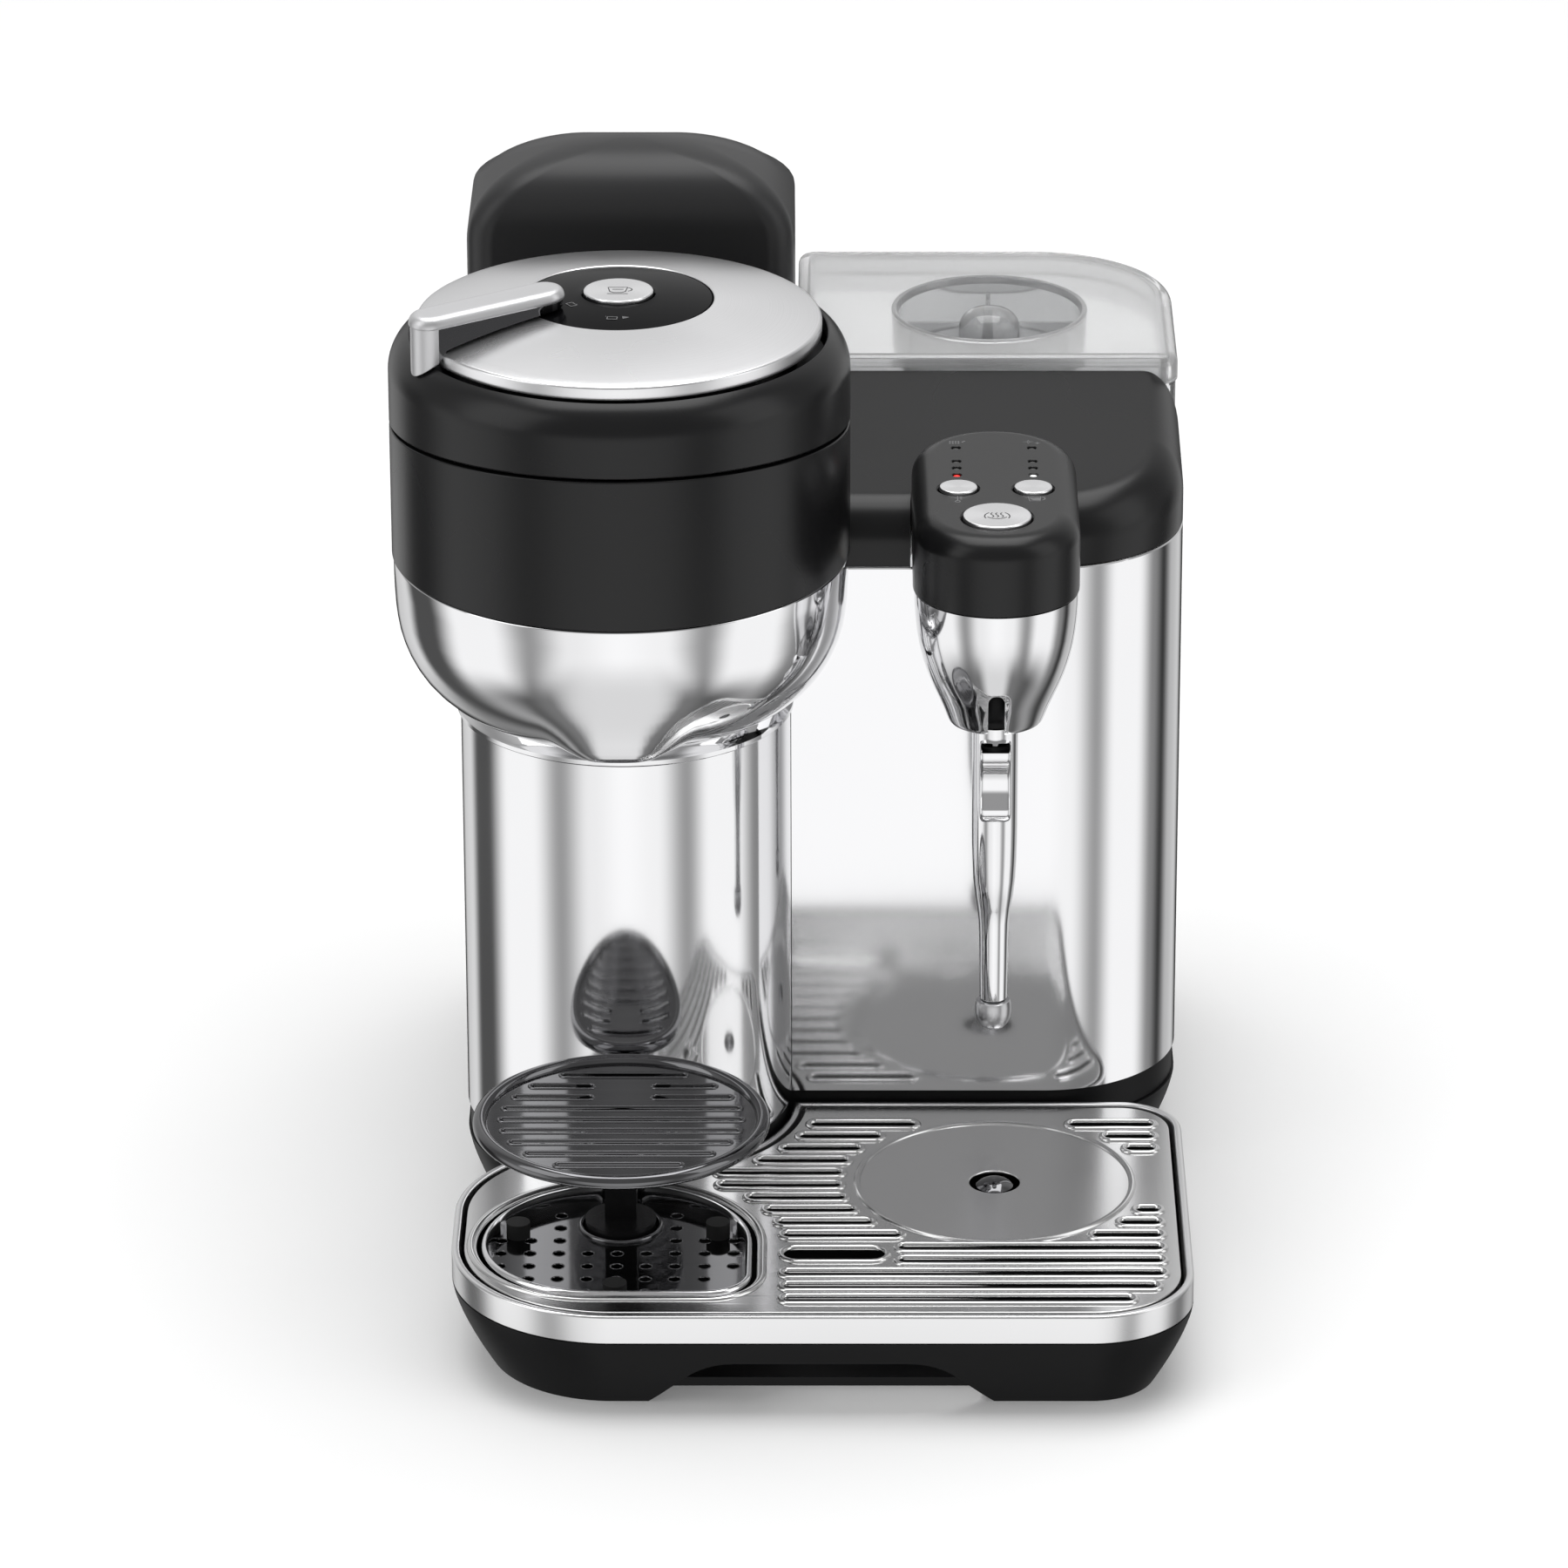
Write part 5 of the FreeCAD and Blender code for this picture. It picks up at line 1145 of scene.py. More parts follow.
def bar_loft(rings, part):
    """Loft of a part of the bar; rungs straight across close its ends, so they follow its bend."""
    chosen, rungs = LEVER_PARTS[part]
    place_of = {corner: i for i, corner in enumerate(chosen)}
    count = len(chosen)
    points = [ring[corner] for ring in rings for corner in chosen]
    faces = []
    for i in range(len(rings) - 1):
        low, high = i * count, (i + 1) * count
        for k in range(count):
            j = (k + 1) % count
            faces.append((low + k, low + j, high + j, high + k))
    last = (len(rings) - 1) * count
    for k in rungs:
        across_bar = (k, k + 1, END_STEPS - 1 - k, END_STEPS - k)
        rung = [place_of[c % LEVER_CORNERS] for c in across_bar]
        corners = [c for i, c in enumerate(rung) if c not in rung[:i]]
        faces.append(tuple(corners[::-1]))
        faces.append(tuple(last + c for c in corners))
    return mesh_from(points, faces)


lever_side = [lever_ring(inset, step, False) for inset, step in ((1.2, 0.0), (0.6, 0.2), (0.5, 0.6))]
lever_side += [lever_ring(inset, step, True) for inset, step in ((0.5, 3.8), (0.6, 3.6))]
cap_profile = [(1.2, 3.7), (0.2, 3.6), (0.0, 3.3), (0.0, 2.6), (0.15, 1.8), (0.55, 1.05), (1.2, 0.45),
               (2.0, 0.1), (3.0, 0.0)]
lever_cap = [lever_ring(inset, step, True) for inset, step in cap_profile]
# The sides' dark chrome is painted reflection: its dark colour stands in for the black lid that they mirror.
place("lever_side", bar_loft(lever_side, "bar"), "lock_lever", dark_chrome, "lock_lever")
place("lever_tip", bar_loft(lever_side, "tip"), "lock_lever", silver_paint, "lock_lever")
place("lever_cap", bar_loft(lever_cap, "whole"), "lock_lever", silver_paint, "lock_lever")
print("lock lever made")

# %% [markdown]
# Push buttons share one shape: a short turned cap with an eased rim on a thin stem. The caps are
# spun, so each one has a finish of its own, whose grooves run round that button's middle.

# %% Buttons
STEM_R, CAP_DEPTH, CAP_DISH = 1.8, 3.4, 0.08


def button(node, finish, steps=96):
    """Turned cap and stem over a button's place in the frame; gives the middle of its face."""
    low, high = span(node)
    x, y = (low.x + high.x) / 2, (low.y + high.y) / 2
    r, top = (high.x - low.x) / 2, high.z
    under, face = top - CAP_DEPTH, top - CAP_DISH
    outline = [(0.0, low.z), (STEM_R, low.z), (STEM_R, under), (r, under)]
    outline += [(r - i, z) for i, z in round_edge(0.0, top, 0.6, 4)][:-1]
    outline += [(r - 0.9, top), (r - 1.3, face), (0.0, face)]
    cap = turned(x, y, outline, steps=steps)
    place(node + "_cap", cap, node, finish, node, 50)
    return x, y, face


coffee_at = button("coffee_button", coffee_spun)
button_spots = {}
for name in ("steam_button", "milk_temperature_button", "milk_froth_button"):
    spot = middle(name)
    spun = make_spun(name + "_spun", (0.92, 0.92, 0.93), (0.22, 0.3), 0.6, spot.x, spot.y, 3600.0)
    button_spots[name] = button(name, spun)
print("buttons made:", 1 + len(button_spots))

# %% [markdown]
# ## Printed marks
# Small pictures say what each control does: a cup, an open and a closed padlock, steam, a
# thermometer, a jug, drops and sparkles. They are thin wires pressed flat into the surface.


# %% Marks
def mark(name, paths, at, body, finish, weight=0.2, turn=0.0):
    """Flat line drawing at a spot; each path is a list of (x, y) and whether it is closed."""
    c, s = math.cos(turn), math.sin(turn)
    wires = []
    for path, closed in paths:
        points = [(at[0] + x * c - y * s, at[1] + x * s + y * c, at[2]) for x, y in path]
        wires.append(wire([points], weight, closed, 1))
    mesh = joined(*wires)
    for vertex in mesh.vertices:
        vertex.co.z = at[2] * MM + (vertex.co.z - at[2] * MM) * 0.35
    place(name, mesh, body, finish)


def circle(x, y, r, steps=16):
    """Points round a circle, the first one not repeated."""
    return arc(x, y, r, 0, 360 - 360 / steps, steps - 1)


print("mark maker ready")

# %% Marks on the lid and its button
cup = [([(-3.2, 2.2), (-2.6, -1.6), (-1.4, -2.6), (1.0, -2.6), (2.2, -1.6), (2.8, 2.2)], True),
       (arc(2.7, 0.2, 1.5, 80, -80, 8), False), ([(-1.9, 0.3), (1.6, 0.3)], False),
       ([(-3.4, -3.6), (3.0, -3.6)], False)]
mark("cup_mark", cup, coffee_at, "coffee_button", print_dark, 0.24)


def on_lid(r, a):
    """Spot just under the inlay's face, at a distance and an angle from the head's axis."""
    return HEAD_X + r * math.cos(a), HEAD_Y + r * math.sin(a), dome_z(r) - 0.28


def padlock(lean):
    """Lock body and its shackle, which leans to one side when the lock is open."""
    body = [(-1.5, -1.4), (1.5, -1.4), (1.5, 0.7), (-1.5, 0.7)]
    shackle = [(-0.9, 0.7)] + arc(0.0, 1.3, 0.9, 180, 0, 8) + [(0.9, 0.7)]
    return [(body, True), ([(x + lean, y) for x, y in shackle], False)]


for name, r, degrees, lean in (("closed_mark", 16.6, 213.0, 0.0), ("open_mark", 20.4, 266.0, -1.1)):
    a = math.radians(degrees)
    upright = a - math.radians(270)
    mark(name, padlock(lean), on_lid(r, a), "lid", print_grey, 0.2, upright)
arrow = [([(0.9, 0.0), (-0.8, 0.9), (-0.8, -0.9)], True), ([(0.4, 0.0), (-0.5, 0.4), (-0.5, -0.4)], True)]
arrow_at = on_lid(20.4, math.radians(277.5))
mark("turn_mark", arrow, arrow_at, "lid", print_grey, 0.25, math.radians(187.5 + 180))
print("marks on the lid made")

# %% Mark on the steam button
waves = [([(x + 0.45 * math.sin(k * 1.05), -1.8 + k * 0.62) for k in range(7)], False)
         for x in (-1.5, 0.0, 1.5)]
cup_lines = [(arc(0.0, -1.0, 3.9, 205, 130, 8), False), (arc(0.0, -1.0, 3.9, 50, -25, 8), False),
             (arc(0.0, 0.4, 3.6, 215, 325, 10), False)]
steam_at = button_spots["steam_button"]
mark("steam_mark", waves + cup_lines, steam_at, "steam_button", print_dark, 0.22)
print("mark on the steam button made")

# %% [markdown]
# ## The steam head
# A round-ended hood reaches forward from the deck. Its upper edge is generously rounded, and the
# buttons and lamps sit in shallow wells, each with a thin dark gap round it.

# %% Steam hood
steam_low, steam_high = span("steam_head_cover")
HOOD_X = (steam_low.x + steam_high.x) / 2
HOOD_R = (steam_high.x - steam_low.x) / 2
HOOD_FRONT, HOOD_BACK = steam_low.y + HOOD_R, steam_high.y - HOOD_R
HOOD_EDGE = 7.5
LAMP_X, LAMP_YS = 12.0, (-30.0, -24.0, -18.0, -6.0)
LAMP_HOLE_R, LAMP_R = 1.45, 1.3
BUTTON_GAP = 0.45
STEAM_BUTTON_R, MILK_BUTTON_R = 10.7, 6.0


def hood_plan(inset):
    return stadium(HOOD_X, HOOD_FRONT, HOOD_BACK, HOOD_R - inset)


def hole(x, y, r, depth, lip, slope, above, steps):
    """Cutter for a round hole in the hood's top, with an eased lip."""
    top = STEAM_TOP
    outline = [(0.0, top - depth), (r, top - depth), (r, top - slope), (r + lip, top + 0.05)]
    outline += [(r + lip, top + above), (0.0, top + above)]
    return turned(x, y, outline, steps=steps)


hood_profile = [(0.7, steam_low.z), (0.2, steam_low.z + 0.2)]
hood_profile += [(0.0, steam_low.z + 0.7), (0.0, steam_low.z + 8.0)]
hood_profile += round_edge(0.0, STEAM_TOP, HOOD_EDGE, 10)
wells = []
for name, (x, y, face) in button_spots.items():
    r = STEAM_BUTTON_R if name == "steam_button" else MILK_BUTTON_R
    wells.append(hole(x, y, r + BUTTON_GAP, 5.0, 0.5, 0.5, 3.0, 64))
lamps = [(HOOD_X + side * LAMP_X, y) for side in (-1, 1) for y in LAMP_YS]
wells += [hole(x, y, LAMP_HOLE_R, 4.0, 0.3, 0.2, 2.0, 24) for x, y in lamps]
hood = boolean(stacked(hood_plan, hood_profile), joined(*wells))
place("steam_hood", hood, "machine", black_plastic, "steam_head_cover", 32)
print("hood made with", len(wells), "holes")

# %% [markdown]
# Each lamp is a small domed lens a little below the hood's top. The first lamp at the left is
# lit red and the first at the right white, and the other six are dark.

# %% Lamps
LENS = [(0.0, -3.5), (LAMP_R, -3.5), (LAMP_R, -0.75), (0.9, -0.4), (0.0, -0.25)]


def lenses(name, finish, chosen):
    outline = [(r, STEAM_TOP + up) for r, up in LENS]
    domes = [turned(x, y, outline, steps=20) for x, y in chosen]
    place(name, joined(*domes), "machine", finish, "status_leds")


lenses("lamps_off", lamp_off, lamps[1:4] + lamps[5:])
lenses("lamp_red_lens", lamp_red, lamps[:1])
lenses("lamp_white_lens", lamp_white, lamps[4:5])
print("lamps:", len(lamps))

# %% [markdown]
# The hood's marks tell the two milk buttons apart: a thermometer at the left and a jug at the
# right. Drops and sparkles behind them stand for rinsing and cleaning.

# %% Marks on the hood
LEFT_LAMPS, RIGHT_LAMPS = HOOD_X - LAMP_X, HOOD_X + LAMP_X


def hood_mark(name, paths, x, y, weight=0.16):
    mark(name, paths, (x, y, STEAM_TOP), "machine", print_grey, weight)


thermometer = [(circle(0.0, -1.9, 0.75), True), ([(0.0, -1.1), (0.0, 2.6)], False)]
thermometer += [([(0.7, y), (1.4, y)], False) for y in (0.0, 1.0, 2.0)]
hood_mark("thermometer_mark", thermometer, LEFT_LAMPS, -51.2)
jug = [([(-2.1, 1.9), (-1.6, -1.9), (1.6, -1.9), (1.9, 1.9)], True), (arc(1.9, 0.1, 1.3, 70, -75, 8), False),
       ([(-1.8, 0.7), (-0.6, 1.0), (0.6, 0.5), (1.7, 0.8)], False)]
jug += [([(-1.5 + 0.3 * k, 0.1 - 0.45 * k), (1.7 - 0.05 * k, 0.1 - 0.45 * k)], False) for k in range(4)]
hood_mark("jug_mark", jug, RIGHT_LAMPS, -50.8)
drops = [(circle(-1.8 + 0.9 * (k % 4), -0.9 + 0.9 * (k // 4), 0.16, 8), True) for k in range(12)]
drops += [(circle(2.2 + 0.5 * k, 0.4 + 0.7 * k, 0.2, 8), True) for k in range(2)]
hood_mark("rinse_mark", drops, LEFT_LAMPS, -1.2)


def sparkle(x, y, r):
    """Star with four points."""
    points = []
    for k in range(8):
        reach = r if k % 2 == 0 else r * 0.22
        points.append((x + reach * math.cos(k * math.pi / 4), y + reach * math.sin(k * math.pi / 4)))
    return points, True


sparkles = [sparkle(-1.0, 0.5, 1.7), sparkle(1.9, -0.7, 1.0)]
hood_mark("clean_mark", sparkles, RIGHT_LAMPS, -1.2, 0.14)
print("marks on the hood made")

# %% [markdown]
# Under the hood sits a bullet-shaped chrome cup with a slot at its front, so that the wand can
# swing out through it. The cup is turned as a shell with a wall, and the slot is cut.

# %% Steam cup
cup_low, cup_high = span("steam_head_cup")
WAND_X, WAND_Y = STEAM.x, STEAM.y
CUP_WALL, CUP_LIFT = 1.6, 0.4
# Radius of the cup at each share of its height, from the top down.
cup_curve = [(25.6, 1.0), (25.55, 0.92), (25.3, 0.82), (24.85, 0.71), (24.1, 0.60), (23.0, 0.49),
             (21.6, 0.385), (20.0, 0.29), (18.4, 0.205), (17.0, 0.13), (16.0, 0.07), (15.3, 0.03),
             (15.0, 0.012)]
cup_height = cup_high.z - cup_low.z
cup_outside = [(r, cup_low.z + cup_height * t) for r, t in cup_curve]
cup_lip = [(14.6, cup_low.z), (14.0, cup_low.z), (13.7, cup_low.z + 0.6)]
cup_inside = [(r - CUP_WALL, cup_low.z + cup_height * t + CUP_LIFT) for r, t in cup_curve[::-1][2:-1]]
cup_outline = cup_outside + cup_lip + cup_inside + [(24.0, cup_high.z)]
SLOT_HALF, SLOT_TOP, SLOT_START = 2.6, 201.3, 180.0
slot_side = [(WAND_X - SLOT_HALF, SLOT_START), (WAND_X + SLOT_HALF, SLOT_START)]
slot_side += arc(WAND_X, SLOT_TOP, SLOT_HALF, 0, 180, 12)
slot_cut = loft([[(x, y, z) for x, z in slot_side] for y in (WAND_Y - 32.0, WAND_Y)])
steam_cup = boolean(turned(HOOD_X, WAND_Y, cup_outline, looped=True), slot_cut)
place("steam_cup", steam_cup, "machine", chrome, "steam_head_cup", 32)
print("steam cup from", round(cup_low.z, 1), "to", round(cup_high.z, 1))

# %% [markdown]
# The wand hangs from a ball in the cup. Its sheath has a finger tab shaped like a shallow saddle
# and narrows to the steel tip. Sheath, ball and tip are turned, and the tab is a stack of slices,
# because its front face dips in the middle while its sides stay square.

# %% Wand
BALL_LOW = cup_low.z - 1.2
BALL_R, BALL_Z = 10.5, 197.0


def wand_sheath():
    """Sheath turned about the wand's axis: (radius, height) from the top down."""
    stem = [(0.0, BALL_LOW), (6.6, BALL_LOW), (7.2, BALL_LOW - 0.4), (7.2, 176.0), (7.2, 164.0),
            (7.2, 152.0), (7.15, 146.0), (7.0, 140.0), (6.7, 134.0), (6.1, 128.5), (5.4, 124.0),
            (4.8, 119.0), (4.6, 113.0), (4.5, 104.0), (4.4, 92.6), (4.0, 92.1), (0.0, 92.1)]
    return turned(WAND_X, WAND_Y, stem, steps=96)


def finger_tab():
    """Saddle-shaped tab; each slice is (height, reach to the front, half width)."""
    slices = [(183.0, 7.2, 4.2), (182.4, 10.2, 4.8), (181.2, 12.1, 5.0), (179.2, 12.5, 5.0),
              (177.4, 11.6, 5.0), (174.5, 10.0, 5.0), (171.0, 9.1, 5.0), (167.5, 9.2, 5.0),
              (164.5, 10.2, 5.0), (162.2, 11.4, 5.0), (160.2, 11.8, 5.0), (158.4, 11.0, 4.9),
              (156.6, 9.0, 4.5), (155.4, 6.4, 3.6)]
    rings = []
    for z, reach, half in slices[::-1]:
        front = soften([(-half, 0.0), (-half, -reach), (half, -reach), (half, 0.0)], 1.6, 4)
        rings.append([(WAND_X + x, WAND_Y + y, z) for x, y in front])
    return loft(rings)


sheath = joined(wand_sheath(), finger_tab())
place("wand_sheath", sheath, "steam_wand", chrome, "steam_wand", 45)
# The ball gets the black base finish as painted shade: it darkens the cup's slot, where the inside of the
# cup lies in shadow.
ball_outline = []
for degrees in range(0, 137, 8):
    a = math.radians(degrees)
    ball_outline.append((BALL_R * math.sin(a), BALL_Z + BALL_R * math.cos(a)))
ball_outline += [(7.1, 189.0), (7.1, BALL_LOW + 0.1), (0.0, BALL_LOW + 0.1)]
ball = turned(WAND_X, WAND_Y, ball_outline, steps=96)
place("wand_ball", ball, "steam_wand", black_base, "steam_wand")
print("wand and its ball made")

# %% Wand tip
WAND_TIP = middle("wand_tip")
tip_low, tip_high = span("wand_tip")
tip_outline = [(0.0, tip_low.z + 4.0), (0.8, tip_low.z + 4.0), (0.8, tip_low.z), (2.6, tip_low.z)]
tip_outline += [(3.9, tip_low.z + 0.7), (5.0, tip_low.z + 2.2), (5.6, tip_low.z + 4.0)]
tip_outline += [(5.8, tip_low.z + 5.6), (5.75, tip_low.z + 8.0)]
tip_outline += [(5.4, tip_high.z - 0.3), (5.0, tip_high.z), (0.0, tip_high.z)]
nozzle = turned(WAND_TIP.x, WAND_TIP.y, tip_outline, steps=64)
place("wand_nozzle", nozzle, "steam_wand", machined_steel, "wand_tip")
print("wand tip made")

# %% [markdown]
# ## Deck, panel and the rear body
# The deck slopes up towards the tank and rolls over its front and right edges. It is the body's
# outline drawn up and then sheared, so the roll stays even along the slope. The head and the
# hood stand in it, so room for both is cut out.

# %% Deck
PANEL_TOP = span("front_panel")[1].z
DECK_BACK = span("deck_cover")[1].y
DECK_FRONT_Z, DECK_SLOPE, DECK_ROLL = 240.2, 0.1813, 12.0
DECK_LEFT = HEAD_X + COLUMN_R + 1.5
HEAD_CLEARANCE, HOOD_CLEARANCE = 0.8, 0.35


def panel_corner(inset, steps):
    """The rounded front right corner that the deck and the panel share."""
    return arc(RIGHT - PANEL_CORNER_R, PANEL_Y + PANEL_CORNER_R, PANEL_CORNER_R - inset, 270, 360, steps)


def deck_plan(inset):
    corner = panel_corner(inset, 20)
    return [(DECK_LEFT, PANEL_Y + inset)] + corner + [(RIGHT - inset, DECK_BACK), (DECK_LEFT, DECK_BACK)]


def deck_lift(x, y, z):
    """Slope of the deck, growing from none at its lower edge to all of it at the top."""
    return z + (y - PANEL_Y) * DECK_SLOPE * max(0.0, (z - PANEL_TOP) / (DECK_FRONT_Z - PANEL_TOP))


deck_profile = [(0.8, PANEL_TOP), (0.25, PANEL_TOP + 0.2), (0.0, PANEL_TOP + 0.8), (0.0, PANEL_TOP + 4.0)]
deck_profile += round_edge(0.0, DECK_FRONT_Z, DECK_ROLL, 12)
deck = stacked(deck_plan, deck_profile, lift=deck_lift)
room_r = HEAD_R + HEAD_CLEARANCE
head_room = turned(HEAD_X, HEAD_Y, [(0.0, 200.0), (room_r, 200.0), (room_r, 300.0), (0.0, 300.0)])
hood_room = stacked(hood_plan, [(-HOOD_CLEARANCE, 215.0), (-HOOD_CLEARANCE, 300.0)])
deck = boolean(boolean(deck, head_room), hood_room)
place("deck", deck, "machine", black_plastic, "deck_cover", 32)
print("deck made")

# %% [markdown]
# Under the deck the front panel is one mirror-polished sheet that wraps the right corner. Below
# it a thin black skirt and a base like the tray's close the body. The base draws in along the
# same curve as the tray's, so the two read as one foot.

# %% Panel, skirt and base


def panel_line(inset):
    """Open line of the panel, from the column round the corner and back."""
    start = [(HEAD_X + COLUMN_R + 0.2, PANEL_Y + inset)]
    return start + panel_corner(inset, 48) + [(RIGHT - inset, DECK_BACK)]


panel = open_wall(panel_line, SHEET_WALL, SKIRT_TOP, PANEL_TOP - 0.2)
place("mirror_panel", panel, "machine", polished_steel, "front_panel")
skirt_low = span("rear_base_skirt")[0].z
skirt_profile = [(1.1, skirt_low), (0.8, skirt_low + 0.4), (0.8, SKIRT_TOP - 0.4), (1.1, SKIRT_TOP)]
skirt_profile += [(3.2, SKIRT_TOP), (3.2, skirt_low)]
skirt = stacked(body_plan, skirt_profile, looped=True)
place("body_skirt", skirt, "machine", black_base, "rear_base_skirt")
body_low = span("rear_base_shell")[0].z
outside = base_profile(body_low, skirt_low, 0.0)
inside = base_profile(body_low + 3.0, skirt_low, BASE_WALL)
body_base = stacked(body_plan, outside + inside[::-1])
place("body_base", body_base, "machine", black_base, "rear_base_shell")
print("panel, skirt and base made")

# %% [markdown]
# ## The water tank and its lid
# The tank is a thin clear box that follows the body's rear corner. One profile runs up the
# outside, over the rim and down the inside, so the wall has a real thickness for light to pass.

# %% Tank
tank_low, tank_high = span("water_tank")
TANK_WALL, TANK_CORNER, TANK_SMALL = 2.4, 45.0, 5.0
DRAIN_R = 9.5


def tank_plan(inset):
    """Rounded box with one large corner at the rear right."""
    x0, x1 = tank_low.x + inset, tank_high.x - inset
    y0, y1 = tank_low.y + inset, tank_high.y - inset
    small, big = max(TANK_SMALL - inset, 1.0), TANK_CORNER - inset
    outline = arc(x0 + small, y0 + small, small, 180, 270, 6)
    outline += arc(x1 - small, y0 + small, small, 270, 360, 6)
    outline += arc(x1 - big, y1 - big, big, 0, 90, 20)
    return outline + arc(x0 + small, y1 - small, small, 90, 180, 6)


floor_z, rim_z = tank_low.z, tank_high.z
tank_profile = [(2.0, floor_z), (0.6, floor_z + 0.6), (0.0, floor_z + 2.0), (0.0, rim_z - 0.5), (0.5, rim_z)]
tank_profile += [(TANK_WALL - 0.4, rim_z), (TANK_WALL, rim_z - 0.5)]
tank_profile += [(TANK_WALL, floor_z + 5.0), (4.0, floor_z + 3.0)]
valve = middle("tank_seat_valve")
drain_outline = [(0.0, floor_z - 2.0), (DRAIN_R, floor_z - 2.0)]
drain_outline += [(DRAIN_R, floor_z + 6.0), (0.0, floor_z + 6.0)]
drain = turned(valve.x, valve.y, drain_outline)
tank = boolean(stacked(tank_plan, tank_profile), drain)
place("tank_wall", tank, "water_tank", clear_tank, "water_tank")
print("tank made")

# %% [markdown]
# The lid is a shallow tray turned upside down, with a round opening for the dish. A short plug
# under it reaches into the tank and keeps it in place.

# %% Tank lid
lid_low, lid_high = span("tank_lid")
LID_TOP, LID_ROLL = lid_high.z, 3.4
RIM_LOW = tank_high.z + 0.4
KNOB = (64.0, 117.0)
DISH_R = 30.1
lid_profile = [(-0.3, RIM_LOW), (-0.6, RIM_LOW + 0.4)] + round_edge(-0.6, LID_TOP, LID_ROLL, 6)
lid_block = stacked(tank_plan, lid_profile + [(24.0, LID_TOP)])
hollow_profile = [(2.2, RIM_LOW - 1.0), (2.2, LID_TOP - 4.4), (3.4, LID_TOP - 2.6), (5.0, LID_TOP - 2.4)]
lid_block = boolean(lid_block, stacked(tank_plan, hollow_profile))
opening_r = DISH_R + 0.6
opening = [(0.0, LID_TOP - 8.0), (opening_r, LID_TOP - 8.0)]
opening += [(opening_r, LID_TOP + 5.0), (0.0, LID_TOP + 5.0)]
lid_block = boolean(lid_block, turned(*KNOB, opening))
plug_low, plug_high = tank_high.z - 5.0, LID_TOP - 2.2
plug_profile = [(2.8, plug_low), (2.8, plug_high), (4.8, plug_high), (4.8, plug_low)]
plug = stacked(tank_plan, plug_profile, looped=True)
lid_cover = joined(lid_block, plug)
place("tank_lid_cover", lid_cover, "tank_lid", clear_lid, "tank_lid", 32)
print("tank lid made")

# %% [markdown]
# The dish is turned about the knob's axis: under its floor, up its outside, over the rim, down
# the inside and up over the domed knob. Three thin webs join the knob to the dish's wall.

# %% Dish and knob
DISH_FLOOR = tank_high.z - 6.0
WEB_HALF, WEB_START = 0.7, 9.5
dish_under = [(0.0, DISH_FLOOR - 2.0), (DISH_R - 1.0, DISH_FLOOR - 2.0), (DISH_R + 1.0, DISH_FLOOR - 1.0),
              (DISH_R + 1.8, DISH_FLOOR + 2.0)]
dish_rim = [(DISH_R + 2.2, LID_TOP - 1.0), (DISH_R + 2.0, LID_TOP + 0.1), (DISH_R + 1.4, LID_TOP + 0.35),
            (DISH_R + 0.6, LID_TOP + 0.1), (DISH_R, LID_TOP - 0.8)]
dish_inside = [(DISH_R - 0.6, LID_TOP - 5.0), (DISH_R - 1.8, DISH_FLOOR + 1.6),
               (DISH_R - 3.6, DISH_FLOOR + 0.2), (12.0, DISH_FLOOR), (10.4, DISH_FLOOR + 0.8)]
knob_dome = [(10.0, DISH_FLOOR + 2.4), (10.0, LID_TOP - 6.2), (9.6, LID_TOP - 4.4), (8.4, LID_TOP - 2.6),
             (6.4, LID_TOP - 1.2), (3.6, LID_TOP - 0.3), (0.0, LID_TOP)]
dish = turned(*KNOB, dish_under + dish_rim + dish_inside + knob_dome, steps=96)


def web(x0, x1, y0, y1):
    """Upright plate in the dish, between two corners of its plan."""
    low, high = DISH_FLOOR - 1.0, LID_TOP - 5.0
    return loft([[(x0, y0, z), (x1, y0, z), (x1, y1, z), (x0, y1, z)] for z in (low, high)])


knob_x, knob_y = KNOB
webs = [web(knob_x - DISH_R + 1, knob_x - WEB_START, knob_y - WEB_HALF, knob_y + WEB_HALF),
        web(knob_x + WEB_START, knob_x + DISH_R - 1, knob_y - WEB_HALF, knob_y + WEB_HALF),
        web(knob_x - WEB_HALF, knob_x + WEB_HALF, knob_y + WEB_START, knob_y + DISH_R - 1)]
place("tank_lid_dish", joined(dish, *webs), "tank_lid", clear_dish, "tank_lid", 32)
print("dish made with", len(webs), "webs")

# %% [markdown]
# ## The used-capsule container
# A tall black bin stands behind the head. Seen from the front it has an arched top, and from the
# side its back slopes down from the crest. Every level slice is a rounded rectangle, so the bin
# is a stack of slices that shrink towards the crest.

# %% Container
bin_low, bin_high = span("capsule_container")
BIN_X = (bin_low.x + bin_high.x) / 2
BIN_HALF = (bin_high.x - bin_low.x) / 2
# The arch seen from the front starts at ARCH_Z, and the face leans back from FACE_Z to the crest.
ARCH_Z, ARCH_CURVE = bin_high.z - 30.0, 2.35
FACE_Z, FACE_CURVE, CREST_Y = 311.0, 2.3, 75.0
# The back steps in by BACK_STEP between two heights, then slopes to the crest.
BACK_Z, SLOPE_Z, BACK_STEP = 286.0, 301.0, 12.0
FRONT_CORNER, BACK_CORNER = 9.0, 34.0
BIN_WALL = 2.6
FOOT_EASE, FOOT_Y = 0.012, 110.0


